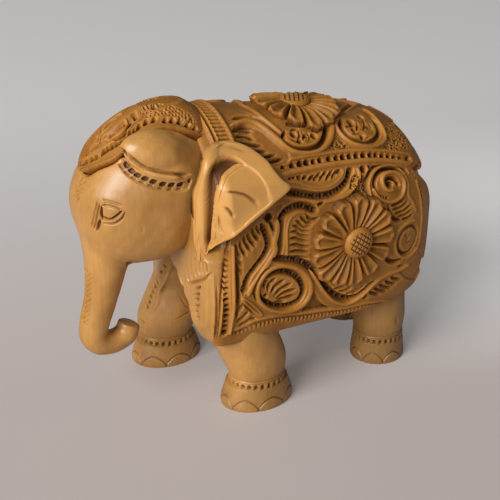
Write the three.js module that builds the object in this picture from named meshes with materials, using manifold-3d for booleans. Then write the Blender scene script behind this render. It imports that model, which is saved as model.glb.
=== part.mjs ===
// A carved wooden elephant in walking pose, dressed in a carved saddle cloth and cap.
// Millimetres. +X runs from head to tail, +Y is the elephant's right, +Z is up.
// The solids are the carved elements of one block, parted by a hairline clearance.
import * as THREE from "three";
import { mergeVertices } from "three/addons/utils/BufferGeometryUtils.js";
import Module from "manifold-3d";

const manifold = await Module();
manifold.setup();

const LEFT = -1;
const RIGHT = 1;
const SIDE_NAMES = { [LEFT]: "left", [RIGHT]: "right" };

// Clearance between neighbours, and how far cutting shapes overrun the form
const SEAM = 0.3;
const OVERRUN = 70;
const SIDE_START = 16;
const BROW_START = 8;
const WELD = 0.0001;

// Torso
const TORSO_LENGTH = 91;
const TORSO_HALF_WIDTH = 28;
const TORSO_RISE = 37;
const TORSO_DROP = 32;
const BELLY_Z = 24;
const WAIST_Z = BELLY_Z + TORSO_DROP;
const BELLY_POWER = 6;
const TORSO_SIDES = 28;
const TORSO_RINGS = 14;
const REAR_CROWDING = 1.5;

// Along the length; rise and drop from the waist; half width; how full the back is
const BACK_POWER = 2.3;
const torsoShares = [
  [0.0, 0.92, 0.72, 0.93, 0.68],
  [0.03, 1.0, 0.9, 0.98, 0.71],
  [0.07, 1.085, 0.97, 1.0, 0.74],
  [0.18, 1.075, 0.99, 1.0, 0.84],
  [0.3, 1.02, 1.0, 1.0, 0.93],
  [0.42, 0.97, 1.0, 1.0, 0.95],
  [0.52, 0.93, 1.0, 1.0, 0.95],
  [0.64, 0.89, 1.0, 1.0, 0.93],
  [0.74, 0.84, 0.99, 0.97, 0.91],
  [0.82, 0.77, 0.96, 0.93, 0.89],
  [0.89, 0.665, 0.9, 0.85, 0.87],
  [0.945, 0.525, 0.78, 0.71, 0.88],
  [0.98, 0.355, 0.57, 0.51, 0.92],
  [1.0, 0.12, 0.25, 0.22, 1.0],
];

// Hollow between the forelegs, under the chest
const CHEST_HOLLOW_LENGTH = 27;
const CHEST_HOLLOW_HALF_WIDTH = 16;
const CHEST_HOLLOW_TOP = 51;
const CHEST_FACETS = 14;

// The right shoulder is set back; corners in plan, and its top above the waist
const SET_BACK_RISE = 6;
const SET_BACK_SHARE = 0.065;
const setBackShares = [
  [-0.1, 0.3], [0.0, 0.3], [SET_BACK_SHARE, 0.75], [0.09, 1.3], [-0.1, 1.3],
];

// Head, placed from the front of the torso
const HEAD_HEIGHT = 48;
const HEAD_LENGTH = 47;
const HEAD_HALF_WIDTH = 18.5;
const HEAD_LAP = 16;
const HEAD_TOP_ABOVE_WAIST = 45;
const HEAD_POWER = 2.2;
const HEAD_SIDES = 24;
const HEAD_RINGS = 11;
const HEAD_BACK_X = HEAD_LAP;
const HEAD_BOTTOM_Z = WAIST_Z + HEAD_TOP_ABOVE_WAIST - HEAD_HEIGHT;

// Up the height; front and back, forward of the head's back; half width
const headShares = [
  [0.0, 0.62, 0.42, 0.3],
  [0.05, 0.8, 0.3, 0.58],
  [0.14, 0.92, 0.16, 0.79],
  [0.28, 0.98, 0.07, 0.93],
  [0.42, 1.0, 0.03, 0.99],
  [0.56, 0.97, 0.0, 1.0],
  [0.7, 0.88, 0.03, 0.92],
  [0.82, 0.76, 0.08, 0.74],
  [0.92, 0.63, 0.12, 0.51],
  [1.0, 0.49, 0.22, 0.24],
];

// Smooth lobe on each side of the crown, in shares of the head; the right one is smaller
const LOBE_HALF_LENGTH = 12.6;
const LOBE_HALF_DEPTH = 7.4;
const LOBE_HALF_HEIGHT = 7.4;
const LOBE_TILT_DEG = 17;
const LOBE_FACETS = 14;
const lobeShares = {
  [LEFT]: { along: 0.49, across: 0.52, up: 0.78, size: 1 },
  [RIGHT]: { along: 0.47, across: 0.46, up: 0.755, size: 0.82 },
};

// Trunk: forward of the head's back, up from the ground to its root in the head, thickness
const TRUNK_SIDES = 12;
const TRUNK_RINGS = 20;
const TRUNK_HALF = 8.6;
const TRUNK_ROOT_SHARE = 0.144;
const TRUNK_ROOT_Z = HEAD_BOTTOM_Z + TRUNK_ROOT_SHARE * HEAD_HEIGHT;
const trunkShares = [
  [0.78, 1.0, 1.0],
  [0.81, 0.841, 0.76],
  [0.85, 0.696, 0.63],
  [0.905, 0.561, 0.57],
  [0.925, 0.481, 0.54],
  [0.875, 0.422, 0.5],
  [0.78, 0.404, 0.46],
  [0.69, 0.43, 0.46],
  [0.655, 0.491, 0.42],
];

// Legs, anklets and feet; the first half is along the body, the second across it
const LEG_SIDES = 18;
const LEG_RINGS = 6;
const LEG_SET_SHARE = 0.75;
const LEG_TOP_SHARE = 0.9;
const FOOT_HEIGHT = 7;
const ANKLET_HEIGHT = 3.4;
const ANKLET_PROUD = 0.7;
const ANKLET_TEETH = 12;
const ANKLET_TOOTH = 0.8;
const LEG_BOTTOM_Z = FOOT_HEIGHT + ANKLET_HEIGHT;
const fore = {
  top: [12, 6.6], knee: [11.2, 9.6], ankle: [9.4, 8.2], rim: [12.7, 9.7],
};
const hind = {
  top: [12, 8.6], knee: [9.6, 9.2], ankle: [8.6, 8.2], rim: [9.6, 9.2],
};

// Places as shares of the torso's length and half width
const legs = {
  left_fore: { footShare: [0.24, 0.68], hipShare: [0.135, 0.74], side: LEFT, form: fore },
  right_fore: { footShare: [0.085, 0.73], hipShare: [0.2, 0.74], side: RIGHT, form: fore },
  left_hind: { footShare: [0.805, 0.57], hipShare: [0.79, 0.5], side: LEFT, form: hind },
  right_hind: { footShare: [0.88, 0.55], hipShare: [0.81, 0.43], side: RIGHT, form: hind },
};

// Saddle cloth walls, measured out from the torso's skin
const CLOTH_WALL = 1.9;
const RAIL_WALL = 2.8;
const RUMP_WALL = 2.3;
const MEDALLION_WALL = 3;
const ROSETTE_PROUD = 4.2;
const BACK_ROSETTE_WALL = 3.4;
const COLLAR_WALL = 3.4;
const RAIL_WIDTH = 2.6;
const FRONT_BORDER_WIDTH = 4;
const HEM_WIDTH = 3;
const REAR_BORDER_WIDTH = 3.4;

// Lines round the flank panel, along the torso and above or below the waist
const frontLineShares = [[0.045, -0.79], [0.06, -0.4], [0.085, 0.1], [0.125, 0.45], [0.15, 0.62]];
const upperLineShares = [
  [0.16, 0.8], [0.25, 0.745], [0.33, 0.71], [0.43, 0.69], [0.54, 0.67], [0.69, 0.615],
  [0.79, 0.54], [0.855, 0.445],
];
const rearLineShares = [
  [0.885, 0.36], [0.925, 0.22], [0.945, 0.04], [0.94, -0.25], [0.92, -0.52], [0.895, -0.74],
];
const hemLineShares = [[0.875, -0.88], [0.75, -0.87], [0.5, -0.83], [0.27, -0.79], [0.045, -0.79]];
const rumpLineShares = [[0.885, 0.43], [0.95, 0.43], [1.1, 0.43]];
const collarLineShares = [[0.12, 0.55], [0.12, 0.8], [0.12, 1.3]];

// Round ornaments: places in shares of the torso, half axes in shares of its length
const ROSETTE_RADIUS = 16.4;
const ROSETTE_PETALS = 13;
const PETAL_POINTS = 3;
const PETAL_DEPTH = 1.8;
const GROOVE_WIDTH = 0.7;
const GROOVE_DEPTH = 1;
const BOSS_RADIUS = 4.9;
const BOSS_DEPTH = 2.6;
const BOSS_FACETS = 12;
const BACK_ROSETTE_RADIUS = 16;
const rosetteShare = [0.545, -0.03];
const backRosetteShare = 0.495;
const medallionShares = [
  { name: "front_medallion", centre: [0.27, -0.33], half: [0.1165, 0.0945] },
  { name: "rear_medallion", centre: [0.805, -0.19], half: [0.0593, 0.0725] },
  { name: "volute", centre: [0.72, 0.385], half: [0.0527, 0.0527] },
];
const topMedallionShares = [
  { name: "back_front_medallion", centre: [0.43, 0.57], half: [0.0681, 0.0505] },
  { name: "back_rear_medallion", centre: [0.665, 0.57], half: [0.0659, 0.0505] },
];
const OVAL_POINTS = 16;

// Crests standing up from the cloth and gullies sunk in it
const CREST_WALL = 2.7;
const CREST_WIDTH = 1.7;
const GULLY_WALL = 0.8;
const GULLY_WIDTH = 1.8;

// Their lines on the flank, along the torso and above or below the waist
const flankCrestShares = [
  [[0.29, 0.535], [0.35, 0.48], [0.42, 0.43], [0.49, 0.42], [0.55, 0.44], [0.585, 0.49], [0.605, 0.55]],
  [[0.257, 0.36], [0.253, 0.25], [0.243, 0.12], [0.214, -0.01], [0.178, -0.13], [0.15, -0.23], [0.13, -0.33]],
  [[0.415, -0.36], [0.446, -0.51], [0.492, -0.655], [0.55, -0.735], [0.61, -0.695], [0.67, -0.575],
    [0.725, -0.53], [0.785, -0.53], [0.84, -0.51]],
  [[0.66, 0.17], [0.61, 0.3], [0.6, 0.43], [0.62, 0.53], [0.66, 0.6], [0.715, 0.615]],
];
const flankGullyShares = [
  [[0.32, 0.595], [0.367, 0.555], [0.424, 0.51], [0.477, 0.5], [0.52, 0.52], [0.55, 0.57], [0.565, 0.63]],
  [[0.285, 0.02], [0.285, 0.13], [0.285, 0.25], [0.3, 0.345], [0.33, 0.39], [0.365, 0.37]],
  [[0.2, 0.33], [0.214, 0.24], [0.212, 0.143], [0.19, 0.056], [0.16, -0.02], [0.135, -0.1], [0.118, -0.19],
    [0.11, -0.29]],
  [[0.25, -0.01], [0.3, -0.035], [0.345, -0.07], [0.395, -0.18]],
  [[0.445, -0.44], [0.485, -0.57], [0.535, -0.645], [0.585, -0.63], [0.625, -0.56]],
  [[0.645, 0.25], [0.637, 0.35], [0.643, 0.45], [0.67, 0.525], [0.72, 0.55], [0.77, 0.52], [0.805, 0.44]],
  [[0.09, -0.35], [0.085, -0.5], [0.08, -0.65]],
];

// Their lines on one half of the back, along the torso and across it
const backCrestShares = [
  [[0.17, 0.4], [0.25, 0.36], [0.29, 0.41], [0.325, 0.58], [0.355, 0.71], [0.4, 0.785], [0.46, 0.79],
    [0.515, 0.74], [0.55, 0.64], [0.565, 0.54]],
  [[0.585, 0.52], [0.572, 0.62], [0.595, 0.73], [0.64, 0.785], [0.69, 0.8], [0.74, 0.765], [0.77, 0.68],
    [0.77, 0.56], [0.75, 0.42]],
  [[0.31, -0.01], [0.317, 0.14], [0.33, 0.3], [0.345, 0.43]],
];
const backGullyShares = [
  [[0.2, 0.27], [0.26, 0.25], [0.3, 0.31], [0.325, 0.44], [0.345, 0.57]],
  [[0.2, 0.53], [0.25, 0.51], [0.285, 0.6], [0.31, 0.71], [0.34, 0.79]],
  [[0.565, 0.83], [0.61, 0.86], [0.67, 0.87], [0.73, 0.84]],
  [[0.8, 0.62], [0.81, 0.5], [0.8, 0.35]],
];
const SET_BACK_REACH_SHARE = 0.44;

// Cap over the crown, from its tip back: shares of the head's length and half width
const CAP_WALL = 1.6;
const CAP_RAIL_WALL = 2.2;
const CAP_RAIL_WIDTH = 2;
const capLineShares = [
  [0.95, 0.0], [0.926, 0.11], [0.864, 0.21], [0.766, 0.43], [0.68, 0.5], [0.604, 0.51],
  [0.479, 0.44], [0.372, 0.45], [0.266, 0.57], [0.17, 0.76],
];
const CAP_BASE_SHARE = 0.6;
const BROW_WALL = 1.2;
const BROW_WIDTH = 2.6;
const browLineShares = [[0.83, 0.82], [0.72, 0.73], [0.56, 0.645], [0.42, 0.605], [0.32, 0.61]];

// Eyes
const EYE_HALF_LENGTH = 2.6;
const EYE_HALF_DEPTH = 1.3;
const EYE_HALF_HEIGHT = 1.7;
const EYE_FACETS = 10;
const eyeShare = { along: 0.862, across: 0.7, up: 0.5 };

// Collar behind the cap
const COLLAR_WIDTH = 4.4;

// Ears: height share, front and rear shares of the length, and share of the flare
const EAR_HEIGHT = 36;
const EAR_LENGTH = 31;
const EAR_FRONT_SHARE = 0.375;
const EAR_BOTTOM_SHARE = 0.095;
const EAR_OUT_SHARE = 1.09;
const EAR_FLARE = 12;
const EAR_FLARE_SHARE = 0.27;
const EAR_ROLL = 2;
const EAR_THIN = 0.9;
const EAR_DISH = 0.7;
const EAR_POINTS = 7;
const EAR_RINGS = 12;
const earShares = [
  [0.0, 0.042, 0.074, 0.2],
  [0.158, 0.023, 0.132, 0.6],
  [0.314, 0.013, 0.255, 1.0],
  [0.417, 0.01, 0.474, 1.0],
  [0.528, 0.01, 0.7, 1.0],
  [0.628, 0.013, 0.89, 0.97],
  [0.714, 0.029, 0.81, 0.9],
  [0.786, 0.048, 0.758, 0.75],
  [0.85, 0.071, 0.726, 0.55],
  [0.93, 0.113, 0.635, 0.25],
  [0.978, 0.194, 0.539, 0.0],
  [1.0, 0.29, 0.435, -0.1],
];

// Tail, lying down the rump: height share and thickness
const TAIL_HALF = 2.1;
const TAIL_SIDES = 8;
const TAIL_RINGS = 10;
const tailShares = [
  [-1.1, 0.7], [-1.0, 1.3], [-0.8, 1.1], [-0.5, 0.95], [-0.2, 1.0], [0.1, 0.9], [0.33, 0.7],
];

// Rows keep their order by the first column; the rest is read along a smooth curve
function readShares(table, at) {
  const last = table.length - 1;
  let i = 0;
  while (i < last - 1 && table[i + 1][0] < at) i += 1;
  const before = table[Math.max(i - 1, 0)];
  const from = table[i];
  const to = table[i + 1];
  const after = table[Math.min(i + 2, last)];
  const span = to[0] - from[0];
  const t = THREE.MathUtils.clamp((at - from[0]) / span, 0, 1);
  const t2 = t * t;
  const t3 = t2 * t;
  return from.map((value, column) => {
    const slopeIn = ((to[column] - before[column]) / (to[0] - before[0])) * span;
    const slopeOut = ((after[column] - from[column]) / (after[0] - from[0])) * span;
    return (2 * t3 - 3 * t2 + 1) * value + (t3 - 2 * t2 + t) * slopeIn
      + (3 * t2 - 2 * t3) * to[column] + (t3 - t2) * slopeOut;
  });
}

// A closed skin through rings of equal count, with a fan across each end
function loft(rings) {
  const sides = rings[0].length;
  const points = rings.flat();
  const faces = [];
  for (let r = 0; r < rings.length - 1; r += 1) {
    for (let s = 0; s < sides; s += 1) {
      const a = r * sides + s;
      const b = r * sides + ((s + 1) % sides);
      faces.push(a, b, b + sides, a, b + sides, a + sides);
    }
  }
  for (const [start, first] of [[0, true], [(rings.length - 1) * sides, false]]) {
    const middle = new THREE.Vector3();
    for (let s = 0; s < sides; s += 1) middle.add(points[start + s]);
    points.push(middle.divideScalar(sides));
    const hub = points.length - 1;
    for (let s = 0; s < sides; s += 1) {
      const a = start + s;
      const b = start + ((s + 1) % sides);
      faces.push(hub, first ? b : a, first ? a : b);
    }
  }
  const geometry = new THREE.BufferGeometry().setFromPoints(points);
  geometry.setIndex(faces);
  return geometry;
}

// A mesh geometry as a solid, turned to face out
function solid(geometry) {
  const bare = geometry.index ? geometry.toNonIndexed() : geometry.clone();
  bare.deleteAttribute("normal");
  bare.deleteAttribute("uv");
  const merged = mergeVertices(bare, WELD);
  const make = (triVerts) => new manifold.Manifold(new manifold.Mesh({
    numProp: 3, vertProperties: merged.attributes.position.array, triVerts,
  }));
  const triangles = new Uint32Array(merged.index.array);
  const made = make(triangles);
  return made.volume() < 0 ? make(triangles.reverse()) : made;
}

function turn(i, count) {
  return (2 * Math.PI * i) / count;
}

// How far along each half axis a superellipse reaches at an angle
function superellipse(angle, power) {
  const reach = (v) => Math.sign(v) * Math.abs(v) ** (2 / power);
  return [reach(Math.sin(angle)), reach(Math.cos(angle))];
}

// Torso form, or the same form grown by a wall all over
function torsoSolid(wall = 0) {
  const rings = [];
  for (let r = 0; r <= TORSO_RINGS; r += 1) {
    const along = 1 - (1 - r / TORSO_RINGS) ** REAR_CROWDING;
    const [, rise, drop, half, full] = readShares(torsoShares, along);
    const ring = [];
    for (let s = 0; s < TORSO_SIDES; s += 1) {
      const angle = turn(s, TORSO_SIDES);
      const up = Math.cos(angle) >= 0;
      const [across, height] = superellipse(angle, up ? full * BACK_POWER : BELLY_POWER);
      const tall = (up ? rise * TORSO_RISE : drop * TORSO_DROP) + wall;
      ring.push(new THREE.Vector3(
        along * (TORSO_LENGTH + wall),
        across * (half * TORSO_HALF_WIDTH + wall),
        WAIST_Z + height * tall,
      ));
    }
    rings.push(ring);
  }
  return solid(loft(rings));
}

// A place on the torso in side view
function torsoPlace([along, height]) {
  const tall = height > 0 ? TORSO_RISE : TORSO_DROP;
  return new THREE.Vector2(along * TORSO_LENGTH, WAIST_Z + height * tall);
}

// How far back the torso reaches on its middle line at a height share
function rearAt(height) {
  let low = 0.6;
  let high = 1;
  for (let i = 0; i < 20; i += 1) {
    const middle = (low + high) / 2;
    const row = readShares(torsoShares, middle);
    if (row[height > 0 ? 1 : 2] > Math.abs(height)) low = middle;
    else high = middle;
  }
  return low * TORSO_LENGTH;
}

// A place on the head in side view
function headPlace([along, up]) {
  return new THREE.Vector2(HEAD_BACK_X - along * HEAD_LENGTH, HEAD_BOTTOM_Z + up * HEAD_HEIGHT);
}

function headSolid(wall = 0) {
  const rings = [];
  for (let r = 0; r <= HEAD_RINGS; r += 1) {
    const up = (1 - Math.cos((Math.PI * r) / HEAD_RINGS)) / 2;
    const [, front, back, half] = readShares(headShares, up);
    const z = HEAD_BOTTOM_Z - wall + up * (HEAD_HEIGHT + 2 * wall);
    const xFront = HEAD_BACK_X - front * HEAD_LENGTH - wall;
    const xBack = HEAD_BACK_X - back * HEAD_LENGTH + wall;
    const ring = [];
    for (let s = 0; s < HEAD_SIDES; s += 1) {
      const [across, along] = superellipse(turn(s, HEAD_SIDES), HEAD_POWER);
      ring.push(new THREE.Vector3(
        (xFront + xBack) / 2 - (along * (xBack - xFront)) / 2,
        across * (half * HEAD_HALF_WIDTH + wall),
        z,
      ));
    }
    rings.push(ring);
  }
  return solid(loft(rings));
}

function lobeSolid(side, wall = 0) {
  const { along, across, up, size } = lobeShares[side];
  const lobe = new THREE.SphereGeometry(1, LOBE_FACETS, LOBE_FACETS / 2);
  lobe.scale(
    size * LOBE_HALF_LENGTH + wall, size * LOBE_HALF_DEPTH + wall, size * LOBE_HALF_HEIGHT + wall,
  );
  lobe.rotateY(THREE.MathUtils.degToRad(LOBE_TILT_DEG));
  const place = headPlace([along, up]);
  lobe.translate(place.x, side * across * HEAD_HALF_WIDTH, place.y);
  return solid(lobe);
}

function eyeSolid(side, wall = 0) {
  const eye = new THREE.SphereGeometry(1, EYE_FACETS, EYE_FACETS / 2);
  eye.scale(EYE_HALF_LENGTH + wall, EYE_HALF_DEPTH + wall, EYE_HALF_HEIGHT + wall);
  eye.rotateZ(-side * Math.PI / 6);
  const place = headPlace([eyeShare.along, eyeShare.up]);
  eye.translate(place.x, side * eyeShare.across * HEAD_HALF_WIDTH, place.y);
  return solid(eye);
}

function trunkSolid(wall = 0) {
  const path = new THREE.CatmullRomCurve3(trunkShares.map(([along, up]) => new THREE.Vector3(
    HEAD_BACK_X - along * HEAD_LENGTH, 0, up * TRUNK_ROOT_Z,
  )), false, "centripetal");
  const last = trunkShares.length - 1;
  const radii = trunkShares.map(([, , thick], i) => [i / last, thick * TRUNK_HALF]);
  const rings = [];
  for (let r = 0; r <= TRUNK_RINGS; r += 1) {
    const t = r / TRUNK_RINGS;
    const middle = path.getPoint(t);
    const along = path.getTangent(t);
    const side = new THREE.Vector3(0, 1, 0);
    const out = new THREE.Vector3().crossVectors(side, along);
    const radius = readShares(radii, t)[1] + wall;
    const ring = [];
    for (let s = 0; s < TRUNK_SIDES; s += 1) {
      const angle = turn(s, TRUNK_SIDES);
      ring.push(middle.clone()
        .addScaledVector(side, radius * Math.sin(angle))
        .addScaledVector(out, radius * Math.cos(angle)));
    }
    rings.push(ring);
  }
  return solid(loft(rings));
}

// Oval rings stacked from the ground up
function column(stages) {
  return solid(loft(stages.map(({ at, half, z }) => {
    const ring = [];
    for (let s = 0; s < LEG_SIDES; s += 1) {
      const angle = turn(s, LEG_SIDES);
      ring.push(new THREE.Vector3(
        at[0] + half[0] * Math.cos(angle), at[1] + half[1] * Math.sin(angle), z,
      ));
    }
    return ring;
  })));
}

function legPlace(share, side) {
  return [share[0] * TORSO_LENGTH, side * share[1] * TORSO_HALF_WIDTH];
}

function between(from, to, t) {
  return from.map((value, k) => THREE.MathUtils.lerp(value, to[k], t));
}

function legSolid({ footShare, hipShare, side, form }) {
  const foot = legPlace(footShare, side);
  const hip = legPlace(hipShare, side);
  const stages = [];
  for (let r = 0; r <= LEG_RINGS; r += 1) {
    const up = r / LEG_RINGS;
    const bulge = Math.sin((Math.PI / 2) * Math.min(1, up * 4));
    const low = between(form.ankle, form.knee, bulge);
    stages.push({
      at: between(foot, hip, THREE.MathUtils.smoothstep(up, 0, LEG_SET_SHARE)),
      half: between(low, form.top, up ** 2),
      z: THREE.MathUtils.lerp(LEG_BOTTOM_Z, WAIST_Z * LEG_TOP_SHARE, up),
    });
  }
  return column(stages);
}

function footSolid({ footShare, side, form }) {
  const at = legPlace(footShare, side);
  const rimShares = [[0, 0.95], [0.2, 1], [0.6, 0.72], [1, 0.4]];
  return column(rimShares.map(([up, flare]) => ({
    at, half: between(form.ankle, form.rim, flare), z: up * FOOT_HEIGHT,
  })));
}

// A band round the ankle with a toothed lower edge
function ankletSolid({ footShare, side, form }) {
  const at = legPlace(footShare, side);
  const half = form.ankle.map((value) => value + ANKLET_PROUD);
  const band = column([0, 1].map((up) => ({
    at, half, z: FOOT_HEIGHT + up * ANKLET_HEIGHT,
  })));
  let toothed = band;
  for (let t = 0; t < ANKLET_TEETH; t += 1) {
    const angle = turn(t, ANKLET_TEETH);
    const notch = new THREE.BoxGeometry(2 * ANKLET_TOOTH, ANKLET_TOOTH, ANKLET_HEIGHT);
    notch.rotateZ(angle);
    notch.translate(
      at[0] + half[0] * Math.cos(angle), at[1] + half[1] * Math.sin(angle), FOOT_HEIGHT,
    );
    toothed = toothed.subtract(solid(notch));
  }
  return toothed;
}

// A side view outline pushed through the body, on one side or on both
function sidePrism(outline, side = 0, start = SIDE_START) {
  const block = new THREE.ExtrudeGeometry(new THREE.Shape(outline), {
    depth: side ? OVERRUN : 2 * OVERRUN, bevelEnabled: false,
  });
  block.rotateX(Math.PI / 2);
  block.translate(0, side ? side * start : OVERRUN, 0);
  if (side === RIGHT) block.translate(0, OVERRUN, 0);
  return solid(block);
}

// A plan view outline pushed up through the back
function planPrism(outline, base = WAIST_Z) {
  const block = new THREE.ExtrudeGeometry(new THREE.Shape(outline), {
    depth: OVERRUN, bevelEnabled: false,
  });
  block.translate(0, 0, base);
  return solid(block);
}

// A strip of even width along a line of points
function strip(line, width) {
  const near = [];
  const far = [];
  line.forEach((point, i) => {
    const ahead = line[Math.min(i + 1, line.length - 1)].clone();
    const along = ahead.sub(line[Math.max(i - 1, 0)]).normalize();
    const across = new THREE.Vector2(-along.y, along.x).multiplyScalar(width / 2);
    let reach = 0;
    if (i === 0) reach = -width / 2;
    if (i === line.length - 1) reach = width / 2;
    const middle = point.clone().addScaledVector(along, reach);
    near.push(middle.clone().add(across));
    far.unshift(middle.clone().sub(across));
  });
  return [...near, ...far];
}

function oval(centre, halfShares, wall = 0) {
  const half = halfShares.map((share) => share * TORSO_LENGTH);
  const points = [];
  for (let i = 0; i < OVAL_POINTS; i += 1) {
    const angle = turn(i, OVAL_POINTS);
    points.push(new THREE.Vector2(
      centre.x + (half[0] + wall) * Math.cos(angle), centre.y + (half[1] + wall) * Math.sin(angle),
    ));
  }
  return points;
}

// The rim of a flower: each petal bulges out between two notches
function petalRim(centre, radius, wall = 0) {
  const points = [];
  const count = ROSETTE_PETALS * PETAL_POINTS;
  for (let i = 0; i < count; i += 1) {
    const swell = Math.abs(Math.sin((Math.PI * i) / PETAL_POINTS)) ** (1 / 2);
    const reach = radius + wall - PETAL_DEPTH * (1 - swell);
    const angle = turn(i, count);
    points.push(new THREE.Vector2(
      centre.x + reach * Math.cos(angle), centre.y + reach * Math.sin(angle),
    ));
  }
  return points;
}

// Straight grooves from a flower's boss out between its petals
function petalGrooves(centre, radius, push) {
  let grooves = null;
  for (let p = 0; p < ROSETTE_PETALS; p += 1) {
    const angle = turn(p, ROSETTE_PETALS);
    const out = new THREE.Vector2(Math.cos(angle), Math.sin(angle));
    const line = [
      centre.clone().addScaledVector(out, BOSS_RADIUS),
      centre.clone().addScaledVector(out, radius),
    ];
    const groove = push(strip(line, GROOVE_WIDTH));
    grooves = grooves ? grooves.add(groove) : groove;
  }
  return grooves;
}

const torsoGrown = torsoSolid(SEAM);
const gullyFloor = torsoSolid(GULLY_WALL);
const layers = {};

// The layer between the torso's clearance and a wall outside it
function layer(wall) {
  layers[wall] ??= torsoSolid(wall).subtract(torsoGrown);
  return layers[wall];
}

// A cloth with its crests raised and its gullies sunk, each line a list of places
function carve(cloth, within, crests, gullies, push) {
  let carved = cloth;
  for (const line of crests) {
    carved = carved.add(layer(CREST_WALL).intersect(push(strip(line, CREST_WIDTH))).intersect(within));
  }
  for (const line of gullies) {
    carved = carved.subtract(push(strip(line, GULLY_WIDTH)).subtract(gullyFloor));
  }
  return carved;
}

// A disc or a flower standing up from the layer
function raised(wall, outline, push) {
  return layer(wall).intersect(push(outline));
}

// A flower with a flat face on the flank, its grooves cut from that face
function flankRosette(centre, side) {
  const face = TORSO_HALF_WIDTH + ROSETTE_PROUD;
  const slab = (outline, depth, height) => {
    const block = new THREE.ExtrudeGeometry(new THREE.Shape(outline), {
      depth, bevelEnabled: false,
    });
    block.rotateX(Math.PI / 2);
    block.translate(0, side === LEFT ? depth - height : height, 0);
    return solid(block);
  };
  const disc = slab(petalRim(centre, ROSETTE_RADIUS), ROSETTE_PROUD + OVERRUN / 10, face);
  const grooves = petalGrooves(
    centre, ROSETTE_RADIUS, (line) => slab(line, 2 * GROOVE_DEPTH, face + GROOVE_DEPTH),
  );
  return disc.subtract(grooves).subtract(torsoGrown);
}

// A bead half sunk in the middle of a flower, facing along the given direction
function bossSolid(place, facing, wall = 0) {
  const bead = new THREE.SphereGeometry(1, BOSS_FACETS, BOSS_FACETS / 2);
  const round = BOSS_RADIUS + wall;
  const deep = BOSS_DEPTH + wall;
  bead.scale(round, facing === "side" ? deep : round, facing === "side" ? round : deep);
  bead.translate(place.x, place.y, place.z);
  return solid(bead);
}

function earSolid(side) {
  const front = HEAD_BACK_X - EAR_FRONT_SHARE * HEAD_LENGTH;
  const bottom = HEAD_BOTTOM_Z + EAR_BOTTOM_SHARE * HEAD_HEIGHT;
  const rings = [];
  for (let r = 0; r <= EAR_RINGS; r += 1) {
    const up = r / EAR_RINGS;
    const [, from, to, out] = readShares(earShares, up);
    const outer = [];
    const inner = [];
    for (let i = 0; i < EAR_POINTS; i += 1) {
      const t = i / (EAR_POINTS - 1);
      const x = front + THREE.MathUtils.lerp(from, to, t) * EAR_LENGTH;
      const flare = Math.min(1, (x - front) / (EAR_FLARE_SHARE * EAR_LENGTH));
      const base = EAR_OUT_SHARE * HEAD_HALF_WIDTH + out * EAR_FLARE * Math.sin((Math.PI / 2) * flare);
      const width = (to - from) * EAR_LENGTH;
      const roll = (EAR_ROLL - EAR_THIN) * Math.max(0, 1 - t * width / (2 * EAR_ROLL));
      const dish = EAR_DISH * Math.sin(Math.PI * t);
      const edge = EAR_THIN * Math.sqrt(Math.max(0, 1 - (2 * t - 1) ** 8));
      outer.push(new THREE.Vector3(x, side * (base + edge + roll - dish), bottom + up * EAR_HEIGHT));
      inner.unshift(new THREE.Vector3(x, side * (base - EAR_THIN - dish), bottom + up * EAR_HEIGHT));
    }
    rings.push([...outer, ...inner]);
  }
  return solid(loft(rings));
}

function tailSolid() {
  const top = tailShares[tailShares.length - 1][0];
  const foot = tailShares[0][0];
  let back = 0;
  const rings = [];
  for (let r = 0; r <= TAIL_RINGS; r += 1) {
    const height = THREE.MathUtils.lerp(top, foot, r / TAIL_RINGS);
    const half = readShares(tailShares, height)[1] * TAIL_HALF;
    back = Math.max(back, height > -1 ? rearAt(height) : 0);
    const place = torsoPlace([0, height]);
    const ring = [];
    for (let s = 0; s < TAIL_SIDES; s += 1) {
      const angle = turn(s, TAIL_SIDES);
      ring.push(new THREE.Vector3(
        back + SEAM + TAIL_HALF + half * Math.cos(angle), half * Math.sin(angle), place.y,
      ));
    }
    rings.push(ring);
  }
  return solid(loft(rings));
}

const WOOD_COLOURS = { smooth: 0xc8935a, carved: 0xa86f30, raised: 0xb87f40 };
const pieces = [];

function keep(name, made, tone = "smooth") {
  pieces.push([name, made, tone]);
}

const headGrown = headSolid(SEAM);
const eyesGrown = eyeSolid(LEFT, SEAM).add(eyeSolid(RIGHT, SEAM));
const trunkGrown = trunkSolid(SEAM);

// Cap with its edge rail
const capBase = HEAD_BOTTOM_Z + CAP_BASE_SHARE * HEAD_HEIGHT;
const capSide = (side) => capLineShares.map(([along, across]) => new THREE.Vector2(
  HEAD_BACK_X - along * HEAD_LENGTH, side * across * HEAD_HALF_WIDTH,
));
const crown = planPrism([...capSide(LEFT).reverse(), ...capSide(RIGHT).slice(1)], capBase);
const capRail = (wall) => planPrism(strip(capSide(LEFT), CAP_RAIL_WIDTH + 2 * wall), capBase)
  .add(planPrism(strip(capSide(RIGHT), CAP_RAIL_WIDTH + 2 * wall), capBase));
const headLayer = (wall) => headSolid(wall).subtract(headGrown);
const capPrism = crown.add(capRail(SEAM));
const capCover = headSolid(CAP_RAIL_WALL + SEAM).intersect(capPrism);
keep("cap", headLayer(CAP_WALL).intersect(crown).subtract(capRail(SEAM)), "carved");
keep("cap_rail", headLayer(CAP_RAIL_WALL).intersect(capRail(0)), "raised");

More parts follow.
